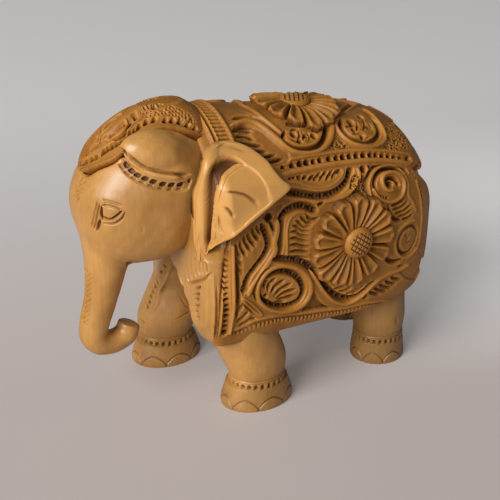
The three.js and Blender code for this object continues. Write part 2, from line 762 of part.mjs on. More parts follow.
// Head, trunk, lobes with the notched brow bands under them, and eyes
const lobesGrown = lobeSolid(LEFT, SEAM).add(lobeSolid(RIGHT, SEAM)).subtract(capPrism);
keep("head", headSolid().subtract(lobesGrown).subtract(eyesGrown));
keep("trunk", trunkSolid().subtract(headGrown));
const browLine = browLineShares.map(headPlace);
for (const side of [LEFT, RIGHT]) {
  keep(`${SIDE_NAMES[side]}_temple_lobe`, lobeSolid(side).subtract(capPrism));
  keep(`${SIDE_NAMES[side]}_eye`, eyeSolid(side), "carved");
  const band = headLayer(BROW_WALL).subtract(lobesGrown).subtract(capPrism)
    .intersect(sidePrism(strip(browLine, BROW_WIDTH), side, BROW_START));
  keep(`${SIDE_NAMES[side]}_brow_band`, band, "raised");
}
const headCover = headGrown.add(lobesGrown).add(capCover);

// Torso and collar
// What is cut away in front: the hollow between the legs and the set back right shoulder
function chestHollow(wall) {
  const hollow = new THREE.SphereGeometry(1, CHEST_FACETS, CHEST_FACETS / 2);
  hollow.scale(
    CHEST_HOLLOW_LENGTH - wall, CHEST_HOLLOW_HALF_WIDTH - wall, CHEST_HOLLOW_TOP - BELLY_Z - wall,
  );
  hollow.translate(0, 0, BELLY_Z);
  const setBack = planPrism(setBackShares.map(([along, across]) => new THREE.Vector2(
    along * TORSO_LENGTH - wall, across * TORSO_HALF_WIDTH + wall,
  )), WAIST_Z + SET_BACK_RISE - wall - OVERRUN);
  return solid(hollow).add(setBack);
}
keep("torso", torsoSolid().subtract(headCover).subtract(trunkGrown).subtract(chestHollow(0)));
const collarLine = collarLineShares.map(torsoPlace);
const collarPrism = (wall) => sidePrism(strip(collarLine, COLLAR_WIDTH + 2 * wall));
keep("collar", layer(COLLAR_WALL).intersect(collarPrism(0)).subtract(headCover), "raised");

// Saddle cloth over the back, its rosette and medallions
const upperLine = upperLineShares.map(torsoPlace);
const rearLine = rearLineShares.map(torsoPlace);
const rumpLine = rumpLineShares.map(torsoPlace);
const upperGrown = sidePrism(strip(upperLine, RAIL_WIDTH + 2 * SEAM));
const rumpGrown = sidePrism(strip(rumpLine, REAR_BORDER_WIDTH + 2 * SEAM));
const aboveCloth = [rumpLine[rumpLine.length - 1], upperLine[0]].map(
  (point) => new THREE.Vector2(point.x, WAIST_Z + OVERRUN),
);
const overBack = sidePrism([...upperLine, rumpLine[rumpLine.length - 1], ...aboveCloth]);
const backCentre = new THREE.Vector2(backRosetteShare * TORSO_LENGTH, 0);
const backHeight = readShares(torsoShares, backRosetteShare)[1] * TORSO_RISE;
const backBoss = new THREE.Vector3(backCentre.x, 0, WAIST_Z + backHeight + BACK_ROSETTE_WALL - SEAM);
let backCloth = layer(CLOTH_WALL).intersect(overBack);
for (const side of [LEFT, RIGHT]) {
  const place = ([along, across]) => new THREE.Vector2(
    along * TORSO_LENGTH, side * across * TORSO_HALF_WIDTH,
  );
  backCloth = carve(
    backCloth, overBack,
    backCrestShares.map((line) => line.map(place)), backGullyShares.map((line) => line.map(place)),
    planPrism,
  );
}
backCloth = backCloth.subtract(upperGrown).subtract(rumpGrown)
  .subtract(collarPrism(SEAM)).subtract(headCover)
  .subtract(planPrism(petalRim(backCentre, BACK_ROSETTE_RADIUS, SEAM)));
for (const { name, centre, half } of topMedallionShares) {
  for (const side of [LEFT, RIGHT]) {
    const place = new THREE.Vector2(
      centre[0] * TORSO_LENGTH, side * centre[1] * TORSO_HALF_WIDTH,
    );
    backCloth = backCloth.subtract(planPrism(oval(place, half, SEAM)));
    const disc = raised(MEDALLION_WALL, oval(place, half), planPrism)
      .subtract(planPrism(petalRim(backCentre, BACK_ROSETTE_RADIUS, SEAM))).subtract(upperGrown);
    keep(`${SIDE_NAMES[side]}_${name}`, disc, "raised");
  }
}
keep("back_cloth", backCloth, "carved");
const backFlower = raised(
  BACK_ROSETTE_WALL, petalRim(backCentre, BACK_ROSETTE_RADIUS), planPrism,
);
keep("back_rosette", backFlower
  .subtract(bossSolid(backBoss, "up", SEAM)).subtract(upperGrown), "raised");
keep("back_rosette_boss", bossSolid(backBoss, "up"), "raised");
const rumpBorder = layer(RUMP_WALL).intersect(sidePrism(strip(rumpLine, REAR_BORDER_WIDTH)));
keep("rump_border", rumpBorder.subtract(upperGrown), "raised");

// Flank panels with their rails, borders, rosettes and medallions
function flankPlan(side) {
  const shift = side === RIGHT ? SET_BACK_SHARE : 0;
  const front = frontLineShares.map(([along, height], i) => torsoPlace(
    [along + shift * (1 - i / (frontLineShares.length - 1)), height],
  ));
  const hem = hemLineShares.map(torsoPlace);
  hem[hem.length - 1] = front[0];
  return {
    panel: [...front, ...upperLine.slice(1), ...rearLine.slice(1), ...hem.slice(1, -1)],
    rails: [
      ["upper_rail", upperLine, RAIL_WIDTH],
      ["front_border", front, FRONT_BORDER_WIDTH],
      ["hem", hem, HEM_WIDTH],
      ["rear_border", rearLine, REAR_BORDER_WIDTH],
    ],
  };
}
const flankCentre = torsoPlace(rosetteShare);

// A carved line on the flank, set back on the right with the shoulder
function flankLine(shares, side) {
  const [foot, top] = [frontLineShares[0][1], frontLineShares[frontLineShares.length - 1][1]];
  return shares.map(([along, height]) => {
    const low = 1 - THREE.MathUtils.smoothstep(height, foot, top);
    const ahead = 1 - THREE.MathUtils.smoothstep(along, 0, SET_BACK_REACH_SHARE);
    return torsoPlace([along + (side === RIGHT ? SET_BACK_SHARE * low * ahead : 0), height]);
  });
}
function flankCover(side) {
  const { panel, rails } = flankPlan(side);
  return rails.reduce(
    (cover, [, line, width]) => cover.add(sidePrism(strip(line, width + 2 * SEAM), side)),
    sidePrism(panel, side),
  );
}
const flankCovers = flankCover(LEFT).add(flankCover(RIGHT));
const clothCover = torsoSolid(RAIL_WALL + SEAM);
const dressCover = clothCover.intersect(flankCovers.add(overBack).add(collarPrism(SEAM)))
  .add(torsoGrown);
for (const side of [LEFT, RIGHT]) {
  const sideName = SIDE_NAMES[side];
  const push = (outline) => sidePrism(outline, side);
  const plan = flankPlan(side);
  const bounds = push(plan.panel);
  let panel = carve(
    layer(CLOTH_WALL).intersect(bounds), bounds,
    flankCrestShares.map((line) => flankLine(line, side)),
    flankGullyShares.map((line) => flankLine(line, side)), push,
  ).subtract(headCover).subtract(collarPrism(SEAM)).subtract(rumpGrown);
  let taken = collarPrism(SEAM).add(headCover);
  for (const [name, line, width] of plan.rails) {
    const rail = layer(RAIL_WALL).intersect(push(strip(line, width))).subtract(taken);
    const grown = push(strip(line, width + 2 * SEAM));
    keep(`${sideName}_${name}`, name === "upper_rail" ? rail : rail.subtract(rumpGrown), "raised");
    taken = taken.add(grown);
    panel = panel.subtract(grown);
  }
  panel = panel.subtract(push(petalRim(flankCentre, ROSETTE_RADIUS, SEAM)));
  for (const { name, centre, half } of medallionShares) {
    const place = torsoPlace(centre);
    panel = panel.subtract(push(oval(place, half, SEAM)));
    keep(`${sideName}_${name}`, raised(MEDALLION_WALL, oval(place, half), push), "raised");
  }
  keep(`${sideName}_flank_cloth`, panel, "carved");
  const bossPlace = new THREE.Vector3(
    flankCentre.x, side * (TORSO_HALF_WIDTH + ROSETTE_PROUD - SEAM), flankCentre.y,
  );
  keep(`${sideName}_rosette`, flankRosette(flankCentre, side)
    .subtract(bossSolid(bossPlace, "side", SEAM)), "raised");
  keep(`${sideName}_rosette_boss`, bossSolid(bossPlace, "side"), "raised");
  keep(`${sideName}_ear`, earSolid(side).subtract(dressCover).subtract(headCover));
}

// Legs, anklets, feet and tail
const legCover = clothCover.intersect(flankCovers).add(torsoGrown.subtract(chestHollow(SEAM)))
  .add(headGrown);
for (const [name, leg] of Object.entries(legs)) {
  keep(`${name}_leg`, legSolid(leg).subtract(legCover));
  keep(`${name}_anklet`, ankletSolid(leg), "carved");
  keep(`${name}_foot`, footSolid(leg));
}
keep("tail", tailSolid().subtract(torsoSolid(SEAM)));

const elephant = new THREE.Group();
for (const [name, made, tone] of pieces) {
  const { vertProperties, triVerts, numProp } = made.getMesh();
  const positions = new Float32Array((vertProperties.length / numProp) * 3);
  for (let v = 0; v < positions.length / 3; v += 1) {
    for (let k = 0; k < 3; k += 1) positions[3 * v + k] = vertProperties[numProp * v + k];
  }
  const geometry = new THREE.BufferGeometry();
  geometry.setAttribute("position", new THREE.BufferAttribute(positions, 3));
  geometry.setIndex(new THREE.BufferAttribute(new Uint32Array(triVerts), 1));
  const mesh = new THREE.Mesh(geometry, new THREE.MeshStandardMaterial({
    color: WOOD_COLOURS[tone], roughness: 0.45, metalness: 0,
  }));
  mesh.name = name;
  elephant.add(mesh);
}

// The soles stand at zero height and the middle of the whole is over the origin
const whole = new THREE.Box3().setFromObject(elephant);
const middle = whole.getCenter(new THREE.Vector3());
for (const mesh of elephant.children) mesh.geometry.translate(-middle.x, -middle.y, -whole.min.z);

export default elephant;
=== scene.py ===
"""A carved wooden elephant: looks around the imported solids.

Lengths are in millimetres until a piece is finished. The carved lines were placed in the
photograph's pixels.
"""
import math

import bmesh
import bpy
import numpy as np
from mathutils import Matrix, Vector
from mathutils.bvhtree import BVHTree


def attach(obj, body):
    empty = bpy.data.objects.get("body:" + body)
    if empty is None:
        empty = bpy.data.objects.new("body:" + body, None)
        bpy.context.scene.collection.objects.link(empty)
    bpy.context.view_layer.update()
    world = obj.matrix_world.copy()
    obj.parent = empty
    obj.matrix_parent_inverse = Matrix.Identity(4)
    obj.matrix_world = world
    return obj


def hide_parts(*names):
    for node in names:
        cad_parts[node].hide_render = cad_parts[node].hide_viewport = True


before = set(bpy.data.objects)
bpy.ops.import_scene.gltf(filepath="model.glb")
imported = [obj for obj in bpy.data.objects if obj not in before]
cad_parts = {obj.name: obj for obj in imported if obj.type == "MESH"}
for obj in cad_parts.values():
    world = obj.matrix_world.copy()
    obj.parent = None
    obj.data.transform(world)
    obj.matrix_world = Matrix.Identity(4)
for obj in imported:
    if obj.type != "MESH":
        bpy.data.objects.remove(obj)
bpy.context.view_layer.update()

MM = 0.001
LEFT = -1
RIGHT = 1
SIDE_NAMES = {LEFT: "left", RIGHT: "right"}
OTHER_SIDE = np.array([1.0, -1.0, 1.0])

# Camera, at the photograph's place
FRAME_PIXELS = 500
VIEW_AIM = np.array([-2.57, -1.5, 45.0])
VIEW_DISTANCE = 400.0
VIEW_AZIMUTH_DEG = 30.0
VIEW_ELEVATION_DEG = 27.0
FOCAL_PIXELS = 1200.0
SENSOR = 36.0

# Torso, as in the solids: along, rise, drop, half width, fullness of the back
TORSO_FRONT_X = -32.07
TORSO_LENGTH = 91.0
TORSO_HALF_WIDTH = 28.0
TORSO_RISE = 37.0
TORSO_DROP = 32.0
BELLY_Z = 24.0
WAIST_Z = BELLY_Z + TORSO_DROP
BACK_POWER = 2.3
BELLY_POWER = 6.0
torso_shares = [
    (0.0, 0.92, 0.72, 0.93, 0.68), (0.03, 1.0, 0.9, 0.98, 0.71), (0.07, 1.085, 0.97, 1.0, 0.74),
    (0.18, 1.075, 0.99, 1.0, 0.84), (0.3, 1.02, 1.0, 1.0, 0.93), (0.42, 0.97, 1.0, 1.0, 0.95),
    (0.52, 0.93, 1.0, 1.0, 0.95), (0.64, 0.89, 1.0, 1.0, 0.93), (0.74, 0.84, 0.99, 0.97, 0.91),
    (0.82, 0.77, 0.96, 0.93, 0.89), (0.89, 0.665, 0.9, 0.85, 0.87), (0.945, 0.525, 0.78, 0.71, 0.88),
    (0.98, 0.355, 0.57, 0.51, 0.92), (1.0, 0.12, 0.25, 0.22, 1.0),
]
CHEST_HOLLOW_LENGTH = 27.0
CHEST_HOLLOW_HALF_WIDTH = 16.0
CHEST_HOLLOW_TOP = 51.0

# Head, as in the solids: up, front, back, half width
HEAD_HEIGHT = 48.0
HEAD_LENGTH = 47.0
HEAD_HALF_WIDTH = 18.5
HEAD_LAP = 16.0
HEAD_BOTTOM_Z = WAIST_Z + 45.0 - HEAD_HEIGHT
HEAD_BACK_X = TORSO_FRONT_X + HEAD_LAP
HEAD_POWER = 2.2
head_shares = [
    (0.0, 0.62, 0.42, 0.3), (0.05, 0.8, 0.3, 0.58), (0.14, 0.92, 0.16, 0.79), (0.28, 0.98, 0.07, 0.93),
    (0.42, 1.0, 0.03, 0.99), (0.56, 0.97, 0.0, 1.0), (0.7, 0.88, 0.03, 0.92), (0.82, 0.76, 0.08, 0.74),
    (0.92, 0.63, 0.12, 0.51), (1.0, 0.49, 0.22, 0.24),
]
trunk_shares = [
    (0.78, 1.0, 1.0), (0.81, 0.841, 0.76), (0.85, 0.696, 0.63), (0.905, 0.561, 0.57),
    (0.925, 0.481, 0.54), (0.875, 0.422, 0.5), (0.78, 0.404, 0.46), (0.69, 0.43, 0.46),
    (0.655, 0.491, 0.42),
]
TRUNK_HALF = 8.6
TRUNK_ROOT_Z = HEAD_BOTTOM_Z + 0.144 * HEAD_HEIGHT
LOBE_HALVES = (12.6, 7.4, 7.4)
LOBE_TILT_DEG = 17.0
lobe_shares = {LEFT: (0.49, 0.52, 0.78, 1.0), RIGHT: (0.47, 0.46, 0.755, 0.82)}

# Legs, as in the solids
FOOT_HEIGHT = 7.0
ANKLET_HEIGHT = 3.4
LEG_BOTTOM_Z = FOOT_HEIGHT + ANKLET_HEIGHT
LEG_LAP = 0.4
FORE = dict(top=(12.0, 6.6), knee=(11.2, 9.6), ankle=(9.4, 8.2), rim=(12.7, 9.7))
HIND = dict(top=(12.0, 8.6), knee=(9.6, 9.2), ankle=(8.6, 8.2), rim=(9.6, 9.2))
leg_shares = {
    "left_fore": ((0.24, 0.68), (0.135, 0.74), LEFT, FORE),
    "right_fore": ((0.085, 0.73), (0.2, 0.74), RIGHT, FORE),
    "left_hind": ((0.805, 0.57), (0.79, 0.5), LEFT, HIND),
    "right_hind": ((0.88, 0.55), (0.81, 0.43), RIGHT, HIND),
}


def view_axes():
    azimuth = math.radians(VIEW_AZIMUTH_DEG)
    elevation = math.radians(VIEW_ELEVATION_DEG)
    back = np.array([
        -math.sin(azimuth) * math.cos(elevation),
        -math.cos(azimuth) * math.cos(elevation),
        math.sin(elevation),
    ])
    right = np.array([math.cos(azimuth), -math.sin(azimuth), 0.0])
    return right, np.cross(back, right), back


VIEW_RIGHT, VIEW_UP, VIEW_BACK = view_axes()
EYE = VIEW_AIM + VIEW_BACK * VIEW_DISTANCE


def pixel_of(spots):
    """Where points of the object fall on the photograph"""
    ray = np.asarray(spots, float) - EYE
    depth = -(ray @ VIEW_BACK)
    middle = FRAME_PIXELS / 2
    return np.stack([
        middle + FOCAL_PIXELS * (ray @ VIEW_RIGHT) / depth,
        middle - FOCAL_PIXELS * (ray @ VIEW_UP) / depth,
    ], -1)


def sight(pixel):
    """The direction from the camera through a pixel"""
    middle = FRAME_PIXELS / 2
    ray = -VIEW_BACK + (pixel[0] - middle) / FOCAL_PIXELS * VIEW_RIGHT
    ray = ray - (pixel[1] - middle) / FOCAL_PIXELS * VIEW_UP
    return ray / np.linalg.norm(ray)


def read_shares(table, at):
    """Rows of a table read along a smooth curve, for many places at once"""
    rows = np.array(table, float)
    at = np.atleast_1d(np.asarray(at, float))
    last = len(rows) - 1
    i = np.clip(np.searchsorted(rows[:, 0], at, side="left") - 1, 0, last - 1)
    before, start = rows[np.maximum(i - 1, 0)], rows[i]
    stop, after = rows[i + 1], rows[np.minimum(i + 2, last)]
    span = (stop[:, 0] - start[:, 0])[:, None]
    t = np.clip((at - start[:, 0])[:, None] / span, 0, 1)
    slope_in = (stop - before) / (stop[:, 0] - before[:, 0])[:, None] * span
    slope_out = (after - start) / (after[:, 0] - start[:, 0])[:, None] * span
    return ((2 * t**3 - 3 * t**2 + 1) * start + (t**3 - 2 * t**2 + t) * slope_in
            + (3 * t**2 - 2 * t**3) * stop + (t**3 - t**2) * slope_out)


def smooth(low, high, value):
    t = np.clip((value - low) / (high - low), 0, 1)
    return t * t * (3 - 2 * t)


def curve_through(points, steps, closed=False):
    """A smooth line through given points"""
    p = np.asarray(points, float)
    if closed:
        p = np.vstack([p[-1], p, p[0], p[1]])
    else:
        p = np.vstack([2 * p[0] - p[1], p, 2 * p[-1] - p[-2]])
    t = np.linspace(0, 1, steps, endpoint=False)[:, None]
    out = []
    for a, b, c, d in zip(p[:-3], p[1:-2], p[2:-1], p[3:]):
        out.append(0.5 * (2 * b + (c - a) * t + (2 * a - 5 * b + 4 * c - d) * t**2
                          + (3 * b - a - 3 * c + d) * t**3))
    out.append(p[-2:-1])
    return np.vstack(out)


def running(paces):
    """How far along a line each of its points is"""
    return np.concatenate([[0], np.cumsum(paces)])


def even_paces(line, count):
    """The same line with points at an even pace"""
    lengths = running(np.linalg.norm(np.diff(line, axis=0), axis=1))
    at = np.linspace(0, lengths[-1], count)
    return np.stack([np.interp(at, lengths, line[:, k]) for k in range(line.shape[1])], 1)


def nearest_on(line, spots, far=9.0):
    """How far places are from a line, up to far, the nearest stretch of it and the share along that"""
    away = np.full(len(spots), float(far))
    stretch = np.zeros(len(spots), int)
    share = np.zeros(len(spots))
    for k, (start, stop) in enumerate(zip(line[:-1], line[1:])):
        step = stop - start
        t = np.clip((spots - start) @ step / max(step @ step, 1e-9), 0, 1)
        gap = np.linalg.norm(spots - start - t[:, None] * step, axis=1)
        closer = gap < away
        away[closer], stretch[closer], share[closer] = gap[closer], k, t[closer]
    return away, stretch, share


def turn(count):
    """Angles once round a ring"""
    return np.linspace(0, 2 * math.pi, count, endpoint=False)


def grid(x, y, z):
    """Rows and columns of places out of their three coordinates"""
    return np.stack(np.broadcast_arrays(x, y, z), -1)


def show(name, data):
    """A mesh, lamp or camera as an object of the scene"""
    holder = bpy.data.objects.new(name, data)
    bpy.context.scene.collection.objects.link(holder)
    return holder


def vectors_of(items, key):
    vectors = np.empty(len(items) * 3, np.float32)
    items.foreach_get(key, vectors)
    return vectors.reshape(-1, 3).astype(float)


def spots_of(mesh):
    return vectors_of(mesh.vertices, "co")


def normals_of(mesh):
    return vectors_of(mesh.vertex_normals, "vector")


def move_to(mesh, spots):
    mesh.vertices.foreach_set("co", spots.reshape(-1).astype(np.float32))


def add_mark(mesh, mark, values):
    """Numbers on the vertices that the wood's colour reads"""
    attribute = mesh.attributes.new(mark, "FLOAT", "POINT")
    attribute.data.foreach_set("value", values.reshape(-1).astype(np.float32))


def skin(points, marks=None, wrap=True, close=True):
    """A grid of points as a mesh; wrapped round, with its ends closed"""
    rows, columns = points.shape[:2]
    if wrap:
        points = np.concatenate([points, points[:, :1]], 1)
        columns += 1
    bm = bmesh.new()
    bmesh.ops.create_grid(bm, x_segments=columns - 1, y_segments=rows - 1, size=1)
    mesh = bpy.data.meshes.new("skin")
    bm.to_mesh(mesh)
    bm.free()
    move_to(mesh, points)
    for mark, values in (marks or {}).items():
        if wrap:
            values = np.concatenate([values, values[:, :1]], 1)
        add_mark(mesh, mark, values)
    bm = bmesh.new()
    bm.from_mesh(mesh)
    bpy.data.meshes.remove(mesh)
    if wrap:
        seam = [v for v in bm.verts if v.is_boundary]
        bmesh.ops.remove_doubles(bm, verts=seam, dist=0.0005)
    if close:
        rim = [e for e in bm.edges if e.is_boundary]
        bmesh.ops.holes_fill(bm, edges=rim, sides=0)
    bmesh.ops.recalc_face_normals(bm, faces=bm.faces)
    return bm


def finish_piece(name, bm, material, nodes):
    """A shaped bmesh in millimetres becomes a piece of the object"""
    mesh = bpy.data.meshes.new(name)
    bm.to_mesh(mesh)
    bm.free()
    mesh.transform(Matrix.Scale(MM, 4))
    piece = show(name, mesh)
    mesh.shade_smooth()
    mesh.materials.append(material)
    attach(piece, "root")
    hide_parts(*nodes)


def fuse(parts, voxel, rounds=5):
    """Several closed forms as one smooth skin"""
    joined = bpy.data.meshes.new("joined")
    bm = bmesh.new()
    for part in parts:
        passing = bpy.data.meshes.new("passing")
        part.to_mesh(passing)
        part.free()
        bm.from_mesh(passing)
        bpy.data.meshes.remove(passing)
    bm.to_mesh(joined)
    bm.free()
    holder = show("holder", joined)
    remesh = holder.modifiers.new("remesh", "REMESH")
    remesh.mode = "VOXEL"
    remesh.voxel_size = voxel
    settle = holder.modifiers.new("settle", "SMOOTH")
    settle.factor = 0.5
    settle.iterations = rounds
    settled = bpy.data.meshes.new_from_object(
        holder.evaluated_get(bpy.context.evaluated_depsgraph_get()))
    bpy.data.objects.remove(holder)
    bpy.data.meshes.remove(joined)
    return settled


# Base forms
def torso_cut(x, wall):
    """Rise, drop, half width and fullness of the torso's section at x"""
    along = np.clip((x - TORSO_FRONT_X) / (TORSO_LENGTH + wall), 0, 1)
    _, rise, drop, half, full = read_shares(torso_shares, along).T
    return rise * TORSO_RISE + wall, drop * TORSO_DROP + wall, half * TORSO_HALF_WIDTH + wall, full


def flank_y(x, z, wall):
    """How far out the torso's side is at x and z"""
    shape = x.shape
    x, z = x.reshape(-1), z.reshape(-1)
    rise, drop, half, full = torso_cut(x, wall)
    up = z > WAIST_Z
    tall = np.where(up, rise, drop)
    power = np.where(up, full * BACK_POWER, BELLY_POWER)
    share = np.clip(np.abs(z - WAIST_Z) / tall, 0, 1)
    return (half * (1 - share**power) ** (1 / power)).reshape(shape)


def back_z(x, y, wall):
    """How high the torso's back is at x and y"""
    shape = x.shape
    x, y = x.reshape(-1), y.reshape(-1)
    rise, _, half, full = torso_cut(x, wall)
    power = full * BACK_POWER
    share = np.clip(np.abs(y) / half, 0, 1)
    return (WAIST_Z + rise * (1 - share**power) ** (1 / power)).reshape(shape)


def superellipse(angle, power):
    """Places round an oval that is squarer the higher its power"""
    across, up = np.sin(angle), np.cos(angle)
    return (np.sign(across) * np.abs(across) ** (2 / power),
            np.sign(up) * np.abs(up) ** (2 / power))


def torso_form(wall, rings, sides):
    along = 1 - (1 - np.linspace(0, 1, rings)) ** 1.7
    rise, drop, half, full = torso_cut(TORSO_FRONT_X + along * (TORSO_LENGTH + wall), wall)
    angle = turn(sides)
    points = np.empty((rings, sides, 3))
    for r in range(rings):
        up = np.cos(angle) >= 0
        power = np.where(up, full[r] * BACK_POWER, BELLY_POWER)
        across, height = superellipse(angle, power)
        points[r, :, 0] = TORSO_FRONT_X + along[r] * (TORSO_LENGTH + wall)
        points[r, :, 1] = across * half[r]
        points[r, :, 2] = WAIST_Z + height * np.where(up, rise[r], drop[r])
    return skin(points)


def head_form(rings=48, sides=72):
    up = (1 - np.cos(np.linspace(0, math.pi, rings))) / 2
    _, front, back, half = read_shares(head_shares, up).T
    across, along = superellipse(turn(sides), HEAD_POWER)
    front_x = HEAD_BACK_X - front * HEAD_LENGTH
    back_x = HEAD_BACK_X - back * HEAD_LENGTH
    x = (front_x + back_x)[:, None] / 2 - along * (back_x - front_x)[:, None] / 2
    y = across * (half * HEAD_HALF_WIDTH)[:, None]
    return skin(grid(x, y, (HEAD_BOTTOM_Z + up * HEAD_HEIGHT)[:, None]))


def trunk_form(steps=12, sides=40):
    line = curve_through([
        (HEAD_BACK_X - along * HEAD_LENGTH, up * TRUNK_ROOT_Z, thick * TRUNK_HALF)
        for along, up, thick in trunk_shares], steps)
    ahead = np.gradient(line[:, :2], axis=0)
    ahead /= np.linalg.norm(ahead, axis=1)[:, None]
    angle = turn(sides)
    x = line[:, :1] + line[:, 2:] * np.cos(angle) * -ahead[:, 1:]
    z = line[:, 1:2] + line[:, 2:] * np.cos(angle) * ahead[:, :1]
    return skin(grid(x, line[:, 2:] * np.sin(angle), z))


def lobe_form(side):
    bm = bmesh.new()
    along, across, up, size = lobe_shares[side]
    bmesh.ops.create_uvsphere(bm, u_segments=48, v_segments=24, radius=size)
    bmesh.ops.scale(bm, vec=LOBE_HALVES, verts=bm.verts)
    tilt = Matrix.Rotation(math.radians(LOBE_TILT_DEG), 3, "Y")
    bmesh.ops.rotate(bm, verts=bm.verts, cent=(0, 0, 0), matrix=tilt)
    place = (HEAD_BACK_X - along * HEAD_LENGTH, side * across * HEAD_HALF_WIDTH,
             HEAD_BOTTOM_Z + up * HEAD_HEIGHT)
    bmesh.ops.translate(bm, verts=bm.verts, vec=place)
    return bm


def leg_place(share, side):
    """Where a leg's middle is, x and y"""
    return np.array([TORSO_FRONT_X + share[0] * TORSO_LENGTH, side * share[1] * TORSO_HALF_WIDTH])


def leg_form(foot_share, hip_share, side, form, rings=40, sides=64):
    up = np.linspace(0, 1, rings)[:, None]
    foot, hip = leg_place(foot_share, side), leg_place(hip_share, side)
    centre = foot + (hip - foot) * smooth(0, 0.75, up)
    bulge = np.sin(math.pi / 2 * np.minimum(1, up * 4))
    ankle, knee, top = (np.array(form[k]) for k in ("ankle", "knee", "top"))
    half = ankle + (knee - ankle) * bulge
    half = half + (top - half) * up**2
    angle = turn(sides)
    x = centre[:, :1] + half[:, :1] * np.cos(angle)
    y = centre[:, 1:] + half[:, 1:] * np.sin(angle)
    return skin(grid(x, y, LEG_BOTTOM_Z - LEG_LAP + up * (WAIST_Z * 0.9 - LEG_BOTTOM_Z + LEG_LAP)))


# Wood
class Socket:
    """A shader socket that takes part in sums"""

    def __init__(self, paint, link):
        self.paint = paint
        self.link = link

    def _maths(self, kind, *values):
        return self.paint.node("Math", {"operation": kind}, *values)

    def __add__(self, other):
        return self._maths("ADD", self, other)

    def __radd__(self, other):
        return self._maths("ADD", other, self)

    def __sub__(self, other):
        return self._maths("SUBTRACT", self, other)

    def __rsub__(self, other):
        return self._maths("SUBTRACT", other, self)

    def __mul__(self, other):
        return self._maths("MULTIPLY", self, other)

    def __rmul__(self, other):
        return self._maths("MULTIPLY", other, self)

    def clamp(self):
        return self.paint.node("Clamp", {}, self)


class Paint:
    """The nodes of one material"""

    def __init__(self, name, roughness):
        self.material = bpy.data.materials.new(name)
        self.material.use_nodes = True
        self.tree = self.material.node_tree
        self.shader = self.tree.nodes["Principled BSDF"]
        self.shader.inputs["Roughness"].default_value = roughness

    def node(self, kind, settings, *values, out=0, **named):
        node = self.tree.nodes.new("ShaderNode" + kind)
        for key, value in settings.items():
            if key == "stops":
                ramp = node.color_ramp
                while len(ramp.elements) < len(value):
                    ramp.elements.new(0.5)
                for element, (place, colour) in zip(ramp.elements, value):
                    element.position = place
                    element.color = (*colour, 1)
            else:
                setattr(node, key, value)
        for key, value in [*enumerate(values), *named.items()]:
            if isinstance(key, str):
                key = key.replace("_", " ")
            if isinstance(value, Socket):
                self.tree.links.new(value.link, node.inputs[key])
            elif value is not None:
                node.inputs[key].default_value = value
        return Socket(self, node.outputs[out])

    def feed(self, name, socket):
        self.tree.links.new(socket.link, self.shader.inputs[name])

    def mix(self, share, first, second, blend="MIX"):
        mixed = self.tree.nodes.new("ShaderNodeMix")
        mixed.data_type = "RGBA"
        mixed.blend_type = blend
        for key, value in ((0, share), (6, first), (7, second)):
            if isinstance(value, Socket):
                self.tree.links.new(value.link, mixed.inputs[key])
            elif key == 0:
                mixed.inputs[key].default_value = value
            else:
                mixed.inputs[key].default_value = (*value, 1)
        return Socket(self, mixed.outputs[2])


GRAIN_SCALE = (900, 900, 60)
FIBRE_SCALE = (3200, 3200, 260)
TOOL_SCALE = (520, 520, 420)


def wood(name, pale, deep, hollow, roughness, gloss, chisel=0.0, shade=1.0):
    """Satin wood with upright grain: paler where the edge mark is set, a painted highlight; darker where it
    is cut deep, painted shade together with the cuts' darker unpolished wood; and darker at the rear and on
    the feet
    """
    paint = Paint(name, roughness)
    place = paint.node("TexCoord", {}, out=3)
    grain_place = paint.node("Mapping", {}, place, Scale=GRAIN_SCALE)
    streak = paint.node("TexNoise", {}, grain_place, Scale=1.0, Detail=5.0, Roughness=0.6)
    fine_place = paint.node("Mapping", {}, place, Scale=FIBRE_SCALE)
    fibre = paint.node("TexNoise", {}, fine_place, Scale=1.0, Detail=3.0, Roughness=0.55)
    cloud = paint.node("TexNoise", {}, place, Scale=70.0, Detail=3.0, Roughness=0.5)
    tone = (streak * 0.5 + cloud * 0.6 + fibre * 0.18 - 0.14).clamp()
    plain = paint.node("ValToRGB", {"stops": [(0.28, deep), (0.72, pale)]}, tone)
    spots = paint.node("SeparateXYZ", {}, place, out=0)
    upright = paint.node("SeparateXYZ", {}, place, out=2)
    rear = paint.node("MapRange", {}, spots, -0.01, 0.035, 1.0, shade)
    feet = paint.node("MapRange", {}, upright, 0.016, 0.008, 1.0, shade + 0.08)
    dusk = rear * feet + (cloud - 0.65) * 0.3
    base = paint.node("VectorMath", {"operation": "SCALE"}, plain, Scale=dusk)
    # The hollow mark darkens the cuts: painted shade, together with the cuts' darker unpolished wood
    cut = paint.node("Attribute", {"attribute_name": "hollow"}, out=2)
    edge = paint.node("Attribute", {"attribute_name": "edge"}, out=2)
    # The edge mark mixes the wood towards a lighter copy of it: a painted highlight
    lit = paint.mix(edge * 0.45, base, tuple(min(1.0, c * 1.3) for c in pale))
    paint.feed("Base Color", paint.mix(cut, lit, hollow))
    paint.feed("Roughness", (streak * 0.16 + cut * 0.25 + (roughness - 0.08)).clamp())
    height = streak * 0.35 + fibre * 0.35
    if chisel:
        tool_place = paint.node("Mapping", {}, place, Scale=TOOL_SCALE)
        tool = paint.node("TexNoise", {}, tool_place, Scale=1.0, Detail=2.0)
        height = height + tool * chisel
    paint.feed("Normal", paint.node("Bump", {}, Strength=0.25, Distance=0.00035, Height=height))
    paint.shader.inputs["Specular IOR Level"].default_value = gloss
    return paint.material


